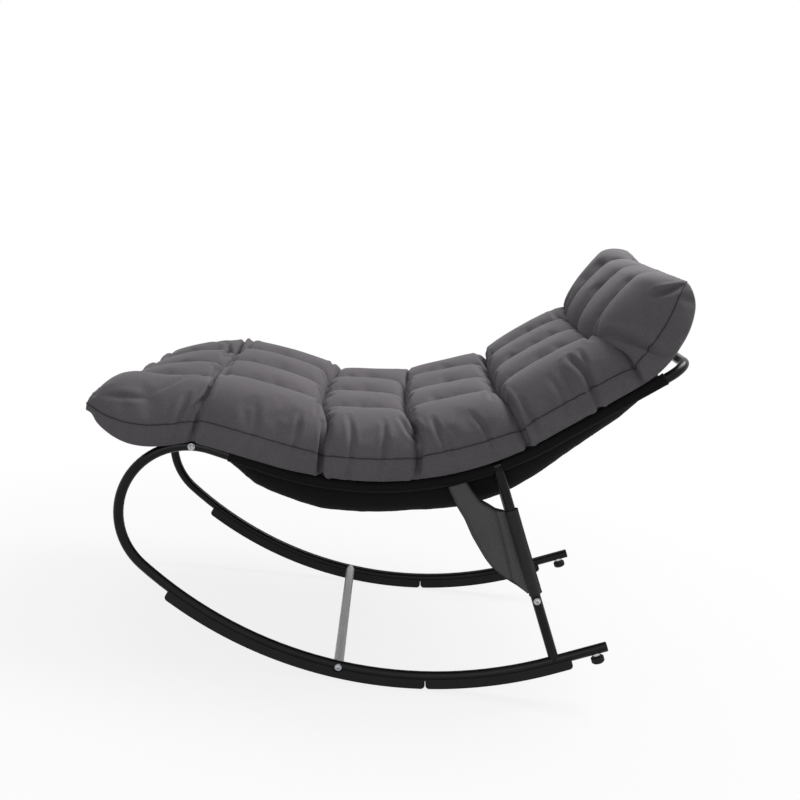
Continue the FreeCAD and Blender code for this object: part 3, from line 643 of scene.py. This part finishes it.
def cushion_row(u, segment, bowed):
    """One row of points round the cushion."""
    low, high = CREASES[segment:segment + 2, 0]
    share = (u - low) / (high - low)
    grip = crease_grip(u)[:, None]
    ring = grip * cushion_ring(u, segment, share, True) + (1 - grip) * cushion_ring(u, segment, share, False)
    inside = ease((COLUMN - BOW_FROM) / BOW_OVER) * ease((TOPS - 1 - BOW_FROM - COLUMN) / BOW_OVER)
    valley = sum(hump(ABOVE - c, TUCK_WIDTH) for c in CHANNEL_COLUMNS)
    tucked = TUCK * valley * (1 - ease(u / TUCK_REACH))
    tucked += np.interp(ABOVE, *FRONT_SET_BACK) * (1 - ease(u / SET_BACK_REACH))
    ear = EAR_HEIGHT * hump(COLUMN - EAR_COLUMN, EAR_WIDTH) * ease((u - EAR_FROM) / EAR_RUN)
    if segment == 0:
        lobe = hump(share - LOBE_AT, LOBE_WIDTH) * ease(u / LOBE_RISE)
        ring[:, 1] += np.where(UPPER, np.interp(COLUMN, *FRONT_RAISED) * lobe, 0.0)
    place, _, up = cushion_line.at(u + bowed * inside + tucked + ear)
    xz = place + ring[:, 1:2] * up
    if HEAD_CREASE <= u < HEAD_CREASE + NOSE_REACH:
        xz = np.where(UPPER[:, None], head_front(u, place, up, ring, inside, ear), xz)
    return with_y(xz, ring[:, 0])


def cushion_faces(count):
    """Faces of the grid of points, with the upper and lower cloth joined at the front and head edges."""
    faces = list(grid_faces(count, COLUMNS, closed=True)[:, ::-1])
    for row, flip in ((0, False), (count - 1, True)):
        base = row * COLUMNS
        upper = [base + c for c in range(TOPS)]
        lower = [base] + [base + COLUMNS - c for c in range(1, TOPS - 1)] + [base + TOPS - 1]
        for c in range(TOPS - 1):
            quad = list(dict.fromkeys((upper[c], upper[c + 1], lower[c + 1], lower[c])))
            faces.append(quad[::-1] if flip else quad)
    return faces


def fold_depth(u, across, line, width, lean):
    """How far a fold of depth 1 draws points in: steep on one side of its line, soft on the other, with a
    low lip beyond."""
    nearest, along, side = np.full(u.shape, np.inf), np.zeros(u.shape), np.ones(u.shape)
    run = run_along(line)
    steps = np.diff(line, axis=0)
    for a, (x, y), length, start in zip(line, steps, np.linalg.norm(steps, axis=1), run):
        t = np.clip(((u - a[0]) * x + (across - a[1]) * y) / length ** 2, 0, 1)
        gap = np.hypot(u - a[0] - t * x, across - a[1] - t * y)
        closer = gap < nearest
        nearest[closer] = gap[closer]
        along[closer] = ((start + t * length) / run[-1])[closer]
        side[closer] = np.sign(x * (across - a[1]) - y * (u - a[0]))[closer]
    taper = np.clip(np.sin(pi * (FOLD_END + (1 - 2 * FOLD_END) * along)), 0, 1) ** FOLD_TAPER
    reach = width * (FOLD_SPREAD + FOLD_LEAN * side * lean)
    return taper * (hump(nearest, reach) - FOLD_LIP * hump(nearest - LIP_AT * width, width))


def fold_depths(u, k):
    """How far all folds draw points in, at u along the cushion and k columns from the near seam."""
    depth = np.zeros(u.shape)
    for i, (deep, width, line) in enumerate(FOLDS):
        sway = FAR_SWAY * sin(SWAY_STEP * i)
        lean = 1 if i % 2 else -1
        for column, moved, share in ((k, 0.0, 1.0), (TOPS - 1 - k, sway, FAR_SHARE)):
            across = column * COLUMN_STEP
            places = np.array([(a + moved, c * COLUMN_STEP) for a, c in line])
            low, high = places.min(0) - FOLD_FELT * width, places.max(0) + FOLD_FELT * width
            near = (u > low[0]) & (u < high[0]) & (across > low[1]) & (across < high[1])
            depth[near] += share * deep * fold_depth(u[near], across[near], places, width, lean)
    return depth


def sewn_points(rows, marks):
    """How firmly each point is held while the cushion is filled, and how dark it is painted along the sewn
    lines, for the thread and as painted shade in their valleys.
    """
    pin, sewn_line_shade = np.zeros((2, len(rows), COLUMNS))
    pin[:, TOPS + FREE_BELOW:COLUMNS - FREE_BELOW] = SEWN_HOLD
    for row in marks[1:-1]:
        held = crease_grip(rows[row])[:TOPS] > LEAST_GRIP
        held[:FREE_ABOVE] = held[TOPS - FREE_ABOVE:] = False
        pin[row, :TOPS][held] = SEWN_HOLD
        sewn_line_shade[row, :TOPS][held] = CREASE_LINE_SHADE
    for column in CHANNEL_COLUMNS:
        pin[:, column] = SEWN_HOLD
        sewn_line_shade[:, column] = CHANNEL_LINE_SHADE
    for column in (0, TOPS - 1):
        pin[:, column] = SEAM_HOLD
    for row in (0, -1):
        pin[row, :] = EDGE_HOLD
    return pin.ravel(), sewn_line_shade.ravel()


def draw_folds(obj):
    """Makes the cushion's mesh finer, draws the folds into it, and gives its normals from before."""
    smooth = obj.modifiers.new("smooth", "SUBSURF")
    smooth.levels = smooth.render_levels = 1
    fine = bpy.data.meshes.new_from_object(obj.evaluated_get(bpy.context.evaluated_depsgraph_get()))
    obj.modifiers.remove(smooth)
    obj.data = fine
    normals = vectors_of(fine, "normal")
    drawn_in = fold_depths(values_of(obj, "along"), values_of(obj, "around"))[:, None] * MM
    set_points(fine, vectors_of(fine) - drawn_in * normals)
    return normals


def make_cushion():
    """The cushion, and the line of the seam round it."""
    rows, marks = cushion_rows()
    segments = np.clip(np.searchsorted(CREASES[:, 0], rows, side="right") - 1, 0, len(SWELL) - 1)
    bow = np.interp(rows, CREASES[:, 0], CREASE_BOW)
    points = np.array([cushion_row(*row) for row in zip(rows, segments, bow)])
    count = len(rows)
    obj = mesh_object("cushion", points * MM, cushion_faces(count))
    pin, sewn_line_shade = sewn_points(rows, marks)
    group = obj.vertex_groups.new(name="sewn")
    for weight in (SEAM_HOLD, EDGE_HOLD, SEWN_HOLD):
        group.add([int(i) for i in np.flatnonzero(pin == weight)], weight, "REPLACE")
    inflate(obj)
    set_points(obj.data, to_row(vectors_of(obj.data) / MM))
    set_uv(obj, grid_uv(rows, run_along(points[count // 2])) * MM)
    set_value(obj, "sewn_line_shade", sewn_line_shade)
    set_value(obj, "along", np.repeat(rows, COLUMNS))
    set_value(obj, "around", np.tile(np.where(COLUMN < TOPS + PAST_SEAM, COLUMN, COLUMN - COLUMNS), count))
    normals = draw_folds(obj)
    coarse = count * COLUMNS
    raised = vectors_of(obj.data)[:coarse] + SEAM_PROUD * normals[:coarse]
    return obj, seam_loop(raised.reshape(count, COLUMNS, 3))


def seam_loop(co):
    """Points of the seam that runs round the cushion between its upper and lower cloth."""
    lower = np.concatenate([co[:, :1], co[:, :TOPS - 2:-1]], axis=1)
    near, far = co[:, 0], co[:, TOPS - 1][::-1]
    head = ((co[-1, :TOPS] + lower[-1]) / 2)[1:-1]
    front = ((co[0, :TOPS] + lower[0]) / 2)[1:-1][::-1]
    return np.concatenate([near, head, far, front])


def tube(name, line, radius, sides=6, closed=True):
    """A thin round cord along a line of points in the row frame."""
    ahead = np.roll(line, -1, 0) - np.roll(line, 1, 0)
    if not closed:
        ahead[0], ahead[-1] = line[1] - line[0], line[-1] - line[-2]
    ahead = unit(ahead)
    across = unit(np.cross(ahead, (0.13, 0.31, 0.94)))
    other = np.cross(ahead, across)
    turn = np.linspace(0, 2 * pi, sides, endpoint=False)
    around = np.cos(turn)[:, None] * across[:, None] + np.sin(turn)[:, None] * other[:, None]
    rings = line[:, None] + radius * around
    rows = len(line)
    faces = grid_faces(rows, sides, closed=True)
    if closed:
        last = (rows - 1) * sides
        j = np.arange(sides)
        k = (j + 1) % sides
        faces = np.concatenate([faces, np.stack([last + j, last + k, k, j], -1)])
    obj = mesh_object(name, rings, faces)
    set_uv(obj, grid_uv(run_along(line), turn * radius))
    return obj


def inflate(obj):
    """Fills the cushion: cloth with some spare length, held at its sewn lines, under pressure from within."""
    start = vectors_of(obj.data)
    cloth = obj.modifiers.new("filling", "CLOTH")
    settings = cloth.settings
    settings.quality = 5
    settings.mass = 0.25
    settings.air_damping = 3.0
    settings.tension_stiffness = settings.compression_stiffness = 18.0
    settings.shear_stiffness = 8.0
    settings.bending_stiffness = 2.5
    settings.vertex_group_mass = "sewn"
    settings.pin_stiffness = 1.0
    settings.shrink_min = -0.035
    settings.use_pressure = True
    settings.uniform_pressure_force = 6.0
    settings.effector_weights.gravity = 0.0
    cloth.collision_settings.use_collision = False
    cloth.point_cache.frame_start, cloth.point_cache.frame_end = 1, FILL_STEPS
    for step in range(1, FILL_STEPS + 1):
        scene.frame_set(step)
    filled = obj.evaluated_get(bpy.context.evaluated_depsgraph_get())
    shift = vectors_of(filled.to_mesh()) - start
    filled.to_mesh_clear()
    obj.modifiers.remove(cloth)
    scene.frame_set(1)
    length = np.linalg.norm(shift, axis=1, keepdims=True)
    shift *= FILL_LIMIT * np.tanh(length / FILL_LIMIT) / np.maximum(length, 1e-9)
    set_points(obj.data, start + shift)


cushion, seam_line = make_cushion()
dress(cushion, "cushion_cloth", "cushion_leg_pad", "cushion_front_pad", "cushion_seat_pad",
      "cushion_lumbar_pad", "cushion_back_pad", "cushion_head_pad")
seam = tube("cushion_seam", seam_line, SEAM_R)
dress(seam, "cushion_cloth", cloth=seam_thread)


# Thickness of each cloth
SLING_T, SLEEVE_T, POCKET_T, LEG_SLEEVE_T = 1.3, 0.6, 1.1, 0.9
# Counts of points along and across the sling and the rail sleeves, and the row that gives the sling's width
SLING_ROWS, SLING_COLUMNS = 150, 121
SLEEVE_ROWS, SLEEVE_SIDES = 190, 32
WIDTH_ROW = 60
# How far in from the sides the sling is pleated, and how deep
PLEATED, PLEAT = 130.0, 2.4
# The legs run from the rockers' straight tails up to the side rails
TAIL_ANGLE = radians(16.0)
TAIL_LENGTH = 122.0
LEG_FROM_END = 116.0
LEG_TOP_TURN = radians(39.2)
BOLT_UP_LEG = 146.0
tail_along = Vector((cos(TAIL_ANGLE), 0, sin(TAIL_ANGLE)))
tail_start = Vector((ROCKER_R * sin(TAIL_ANGLE), 0, ROLL_HEIGHT - ROCKER_R * cos(TAIL_ANGLE)))
leg_foot = np.array(tail_start + (TAIL_LENGTH - LEG_FROM_END) * tail_along)
leg_top = with_y(rail_line.at(FRONT_RUN + SEAT_R * LEG_TOP_TURN)[0][0], 0)
LEG_AXIS = unit(leg_top - leg_foot)
LEG_BOLT = leg_foot + LEG_AXIS * BOLT_UP_LEG + np.array([0, SIDE_Y, 0])
LEG_OUT = np.cross(LEG_AXIS, (0, 1, 0))


def thicken(obj, thickness):
    solid = obj.modifiers.new("cloth_thickness", "SOLIDIFY")
    solid.thickness = thickness * MM
    solid.offset = 0.0
    return obj


def make_sling():
    """The sling, pleated along its sides, and its width in metres across the hollow."""
    distances = np.linspace(SLING_FROM + 2.0, SLING_TO - 2.0, SLING_ROWS)
    spread = np.linspace(-1, 1, SLING_COLUMNS)
    y = SLING_HALF * np.sin(spread * pi / 2) * 0.35 + SLING_HALF * spread * 0.65
    place, _, up = rail_line.at(distances)
    depth = trough_depth(distances)[:, None]
    height = trough_height(y, depth, SLING_HALF) + 0.75
    wall = np.clip(1 - (SLING_HALF - np.abs(y)) / PLEATED, 0, 1)
    pleats = fractal(distances[:, None], np.sign(y) * 400.0, 0.0, 34.0)
    height = height - PLEAT * np.abs(pleats) * wall * (1 - wall ** 6)
    points = with_y(place[:, None] + height[..., None] * up[:, None], y)
    obj = mesh_object("sling", to_row(points), grid_faces(*height.shape))
    across = run_along(np.stack([y, height[WIDTH_ROW]], -1))
    set_uv(obj, grid_uv(distances, across) * MM)
    return thicken(obj, SLING_T), across[-1] * MM


def make_sleeve(name, side):
    """The sleeve round a side rail, wrinkled, sewn along its underside and open where the leg comes out."""
    distances = np.linspace(SLING_FROM, RAIL_LENGTH - 4.0, SLEEVE_ROWS)
    turns = np.linspace(0, 2 * pi, SLEEVE_SIDES, endpoint=False)
    place, _, up = rail_line.at(distances)
    wrinkle = fractal(distances[:, None] * 0.6, 22 * np.cos(turns) + side * 90, 22 * np.sin(turns), 26.0)
    seam = hump(turns - pi * (1.25 if side > 0 else 1.75), 0.1)
    ends = sum(hump(distances - end, 5.0) for end in distances[[0, -1]])
    radius = SLEEVE_R - 0.25 + 0.32 * wrinkle + 0.9 * seam + 0.5 * ends[:, None]
    y = side * SIDE_Y + radius * np.cos(turns)
    points = with_y(place[:, None] + (radius * np.sin(turns))[..., None] * up[:, None], y)
    faces = grid_faces(len(distances), len(turns), closed=True)
    centres = points.reshape(-1, 3)[faces].mean(1)
    off_leg = np.linalg.norm(np.cross(centres - LEG_BOLT * (1, side, 1), LEG_AXIS), axis=1)
    faces = faces[off_leg > SLEEVE_R + 0.6]
    obj = mesh_object(name, to_row(points), faces)
    set_uv(obj, grid_uv(distances, turns * SLEEVE_R) * MM)
    return thicken(obj, SLEEVE_T)


def stitches(name, line, outward, pitch=0.0042, length=0.003, radius=0.0005):
    """A row of short thread stitches lying on a line of points, a little proud of the cloth."""
    run = run_along(line)
    points, faces = [], []
    for start in np.arange(0.002, run[-1] - length, pitch):
        reach = start + length * np.array([0.0, 0.3, 0.7, 1.0])
        centre, out = (np.stack([np.interp(reach, run, values) for values in ways.T], -1)
                       for ways in (line, outward))
        out = unit(out)
        side = np.cross(out, unit(centre[-1] - centre[0]))
        sink = np.array([-0.6, 0.55, 0.55, -0.6])[:, None]
        base = len(points)
        middle = centre + out * radius * sink
        rings = middle[:, None] + radius * np.stack([side, out, -side, -out], 1)
        points += list(rings.reshape(-1, 3))
        faces += list(base + grid_faces(4, 4, closed=True))
        faces += [(base + 3, base + 2, base + 1, base), (base + 12, base + 13, base + 14, base + 15)]
    obj = mesh_object(name, points, faces)
    set_uv(obj, np.asarray(points)[:, [0, 2]])
    return obj


def sleeve_stitch_line(side):
    """The sewn line under each rail, where the sleeve is closed on the sling."""
    distances = np.linspace(SLING_FROM + 6.0, RAIL_LENGTH - 10.0, 300)
    place, _, up = rail_line.at(distances)
    out = with_y(-0.34 * up, side * 0.94)
    return to_row(with_y(place, side * SIDE_Y) + (SLEEVE_R + 0.15) * out), out @ TURN.T


sling, sling_width = make_sling()
dress(sling, "sling_cloth", "sling_panel")
for side_name, side in (("left", -1), ("right", 1)):
    sleeve = make_sleeve(f"{side_name}_rail_sleeve", side)
    dress(sleeve, "sling_cloth", f"{side_name}_sling_sleeve")
    dress(stitches(f"{side_name}_sleeve_stitches", *sleeve_stitch_line(side)), "sling_cloth")


# The side pocket, in distances up the left leg from its bolt and out from the leg toward the front
POCKET_EDGE = ((18, 11.5), (44, 30), (69, 52), (99, 71), (123, 80), (148, 86),
               (178, 93), (221, 98), (252, 106), (296, 112))
POCKET_MOUTH = ((18, 11.5), (20, 12), (212, 12.5), (214, 15), (217, 21), (223, 31),
                (237, 43), (250, 56), (272, 66), (296, 73))
POCKET_SEAM = ((40, 36), (59, 38.5), (96, 36), (135, 34), (197, 31), (222, 31.5))
SEAM_FROM, SEAM_TO = 40.0, 224.0
POCKET_FOOT = 20.0
RAIL_UNDER = 296.8
MOUTH_FOOT = 213.0
POCKET_RISE = np.linspace(POCKET_FOOT, RAIL_UNDER, 170)
LEG_FRONT = 12.0
LEG_SLEEVE_FROM, LEG_SLEEVE_TO = 13.0, 211.0
LEG_SLEEVE_R = 12.3
# How far the bag stands out, over what rise it fills, and where and over what rise it is flat again
BAG_OUT, BAG_FILLS, BAG_FLAT_FROM, BAG_FLATTENS = 17.0, 120.0, 228.0, 66.0
# The depth and width of the line sewn up the bag, and the depths of its slack and of the lines of its drag
SEAM_DEPTH, SEAM_WIDTH, SLACK, DRAG = 5.0, 4.5, 2.2, 1.6
# Radii of the pocket's cords in metres, and how proud its stitches lie
BINDING_R, MOUTH_HEM_R, BACK_HEM_R = 0.0021, 0.0016, 0.0014
STITCH_PROUD = 0.0007


def on_leg(along, out, lift):
    """Points beside the left leg; lift is away from the chair."""
    ways = zip((along, out, lift), (LEG_AXIS, LEG_OUT, (0, -1, 0)))
    return LEG_BOLT * (1, -1, 1) + sum(np.multiply.outer(size, way) for size, way in ways)


def smooth_line(pairs, at):
    """A softened polyline through pairs, read at given places."""
    return sum(np.interp(at + d, *zip(*pairs)) for d in (-6.0, -3.0, 0.0, 3.0, 6.0)) / 5


def seam_gap(rise, out):
    """How far points of the pocket are from the line sewn up its front."""
    return np.abs(out - np.interp(rise, *zip(*POCKET_SEAM)))


def across_pocket(out, edge):
    """Shares of the way from the leg to the pocket's edge."""
    return np.clip((out - LEG_FRONT) / np.maximum(edge - LEG_FRONT, 1.0), 0, 1)


def make_pocket(name, lift_of, sewn=False):
    """One panel of the pocket and its grid of points in drawn millimetres."""
    mouth = np.interp(POCKET_RISE, *zip(*POCKET_MOUTH))
    edge = np.maximum(smooth_line(POCKET_EDGE, POCKET_RISE), mouth + 0.6)
    out = mouth[:, None] + (edge - mouth)[:, None] * np.linspace(0, 1, 64)
    rise = np.broadcast_to(POCKET_RISE[:, None], out.shape)
    points = on_leg(rise, out, lift_of(rise, out, edge[:, None]))
    obj = mesh_object(name, to_row(points), grid_faces(*out.shape))
    set_uv(obj, np.stack([rise, out], -1) * MM)
    if sewn:
        # Painted darker along the line sewn up the bag's front, at the bottom of its groove.
        sewn_line_shade = hump(seam_gap(rise, out), 1.3) * ((rise > SEAM_FROM) & (rise < SEAM_TO))
        set_value(obj, "sewn_line_shade", sewn_line_shade.ravel())
    return thicken(obj, POCKET_T), points


def outer_lift(rise, out, edge):
    """The bag's slack front: two full lobes with a sewn line between them, flat again by the rail."""
    across = across_pocket(out, edge)
    belly = np.sin(pi * across ** 0.85) ** 0.75
    height = ease((rise - POCKET_FOOT) / BAG_FILLS) * (1 - 0.9 * ease((rise - BAG_FLAT_FROM) / BAG_FLATTENS))
    seam = SEAM_DEPTH * hump(seam_gap(rise, out), SEAM_WIDTH)
    seam = seam * ease((rise - 36.0) / 30.0) * ease((232.0 - rise) / 16.0)
    slack = SLACK * fractal(rise * 0.35, out, 0.0, 19.0)
    drag = DRAG * np.sin((out + 0.45 * rise) / 6.2) * ease((150.0 - rise) / 120.0) * (1 - across)
    return 1.6 + height * belly * (BAG_OUT + slack + drag) - seam * belly ** 0.5


def inner_lift(rise, out, edge):
    """The bag's back, which hangs a little inward."""
    slack = 1 + 0.4 * fractal(rise * 0.4, out, 50.0, 24.0)
    return -1.2 - 2.4 * np.sin(pi * across_pocket(out, edge)) * slack


def make_leg_sleeve():
    """The pocket's sleeve round the leg, with a flat sewn lip along its back."""
    along = np.linspace(LEG_SLEEVE_FROM, LEG_SLEEVE_TO, 90)
    turns = np.linspace(0, 2 * pi, 40, endpoint=False)
    wrinkle = fractal(along[:, None] * 0.5, 16 * np.cos(turns), 16 * np.sin(turns) + 200, 17.0)
    hems = (LEG_SLEEVE_FROM + 2.0, LEG_SLEEVE_TO - 2.0)
    ends = sum(hump(along - hem, 3.5) for hem in hems)
    radius = LEG_SLEEVE_R + 0.35 * wrinkle + 0.55 * ends[:, None]
    lip = 3.2 * hump(turns - pi, 0.17)
    out, lift = (radius + lip) * np.cos(turns), radius * np.sin(turns)
    rise = np.broadcast_to(along[:, None], out.shape)
    points = on_leg(rise, out, lift)
    obj = mesh_object("pocket_leg_sleeve", to_row(points), grid_faces(*out.shape, closed=True))
    set_uv(obj, grid_uv(along, turns * LEG_SLEEVE_R) * MM)
    return thicken(obj, LEG_SLEEVE_T)


def pocket_stitches(name, line):
    """Stitches along a line of points of the pocket's front."""
    away = np.tile(TURN @ np.array([0.0, -1.0, 0.0]), (len(line), 1))
    return stitches(name, to_row(line) + away * STITCH_PROUD, away)


outer, outer_points = make_pocket("pocket_outer_cloth", outer_lift, sewn=True)
dress(outer, "pocket_cloth", "pocket_outer_panel")
inner, inner_points = make_pocket("pocket_inner_cloth", inner_lift)
dress(inner, "pocket_cloth", "pocket_inner_panel")
leg_sleeve = make_leg_sleeve()
dress(leg_sleeve, "pocket_cloth", "pocket_sleeve", cloth=leg_sleeve_cloth)

edge_line = (outer_points[:, -1] + inner_points[:, -1]) / 2
edge_cord = tube("pocket_binding", to_row(edge_line), BINDING_R, 8, closed=False)
mouth_from = int(np.searchsorted(POCKET_RISE, MOUTH_FOOT))
mouth_cord = tube("pocket_mouth_hem", to_row(outer_points[mouth_from:, 0]), MOUTH_HEM_R, 8, closed=False)
hem_cord = tube("pocket_back_hem", to_row(inner_points[mouth_from:, 0]), BACK_HEM_R, 8, closed=False)
hem_stitch = pocket_stitches("pocket_hem_stitches", outer_points[mouth_from + 2:, 6])
edge_stitch = pocket_stitches("pocket_edge_stitches", outer_points[12:, -5])
pocket_trim = [edge_cord, mouth_cord, hem_cord, hem_stitch, edge_stitch]
for piece in pocket_trim:
    dress(piece, "pocket_cloth", cloth=pocket_thread)


def make_floor():
    """A pale floor that keeps the chair's shadow near it and is plain white further off."""
    floor = mesh_object("floor", [(-30, -30, 0), (30, -30, 0), (30, 30, 0), (-30, 30, 0)], [(0, 1, 2, 3)])
    paint = Paint(bpy.data.materials.new("pale_floor"))
    path = paint.node("ShaderNodeLightPath").outputs
    seen = paint.math("MAXIMUM", path["Is Camera Ray"], path["Is Glossy Ray"])
    seen = paint.math("MAXIMUM", seen, path["Is Transmission Ray"])
    place = paint.node("ShaderNodeTexCoord").outputs["Object"]
    reach = paint.node("ShaderNodeVectorMath", {0: place}, operation="LENGTH").outputs["Value"]
    grain = paint.noise(40.0, 3.0)
    tone = paint.ramp(grain, [(0.3, (0.56, 0.56, 0.56)), (0.7, (0.6, 0.6, 0.6))])
    paint.set(Base_Color=tone, Roughness=0.9)
    glow = paint.node("ShaderNodeEmission", {"Color": (1, 1, 1, 1), "Strength": 1.0})
    share = paint.math("MULTIPLY", seen, paint.span(reach, 0.84, 1.0, 0.5, 1.6))
    both = paint.node("ShaderNodeMixShader", {0: share, 1: paint.shader.outputs[0], 2: glow.outputs[0]})
    paint.feed(paint.tree.nodes["Material Output"].inputs["Surface"], both.outputs[0])
    floor.data.materials.append(paint.owner)


def make_world():
    """White where it is seen, and dimmer as a light."""
    world = bpy.data.worlds.new("studio")
    sky = Paint(world, "Background")
    path = sky.node("ShaderNodeLightPath").outputs
    seen = sky.math("MAXIMUM", path["Is Camera Ray"], path["Is Glossy Ray"])
    sky.set(Color=(1, 1, 1, 1), Strength=sky.span(seen, 0.3, 1.0))
    scene.world = world


def area_light(name, place, target, size, power):
    lamp = bpy.data.lights.new(name, "AREA")
    lamp.shape, lamp.size, lamp.energy = "DISK", size, power
    obj = add_object(name, lamp)
    obj.location = place
    obj.rotation_mode = "QUATERNION"
    obj.rotation_quaternion = (Vector(target) - Vector(place)).to_track_quat("-Z", "Y")


# The camera that was fitted to the photograph, in metres and degrees of the drawn position
CAMERA_PLACE = (-0.080, -2.799, 1.117)
CAMERA_TILT = 10.85
SENSOR, LENS = 36.0, 54.0


def make_camera():
    camera = bpy.data.cameras.new("camera")
    camera.sensor_width, camera.lens = SENSOR, LENS
    obj = add_object("camera", camera)
    pitch = radians(90 - CAMERA_TILT)
    obj.matrix_world = TO_ROW @ Matrix.Translation(CAMERA_PLACE) @ Matrix.Rotation(pitch, 4, "X")
    scene.camera = obj


make_floor()
make_world()
area_light("overhead", (1.45, 0.3, 2.85), (0.0, 0.0, 0.4), 1.8, 103.0)
area_light("front_fill", (-1.0, -3.2, 1.7), (0.0, 0.0, 0.4), 2.4, 31.0)
make_camera()
scene.view_settings.view_transform = "Standard"

bpy.context.view_layer.update()
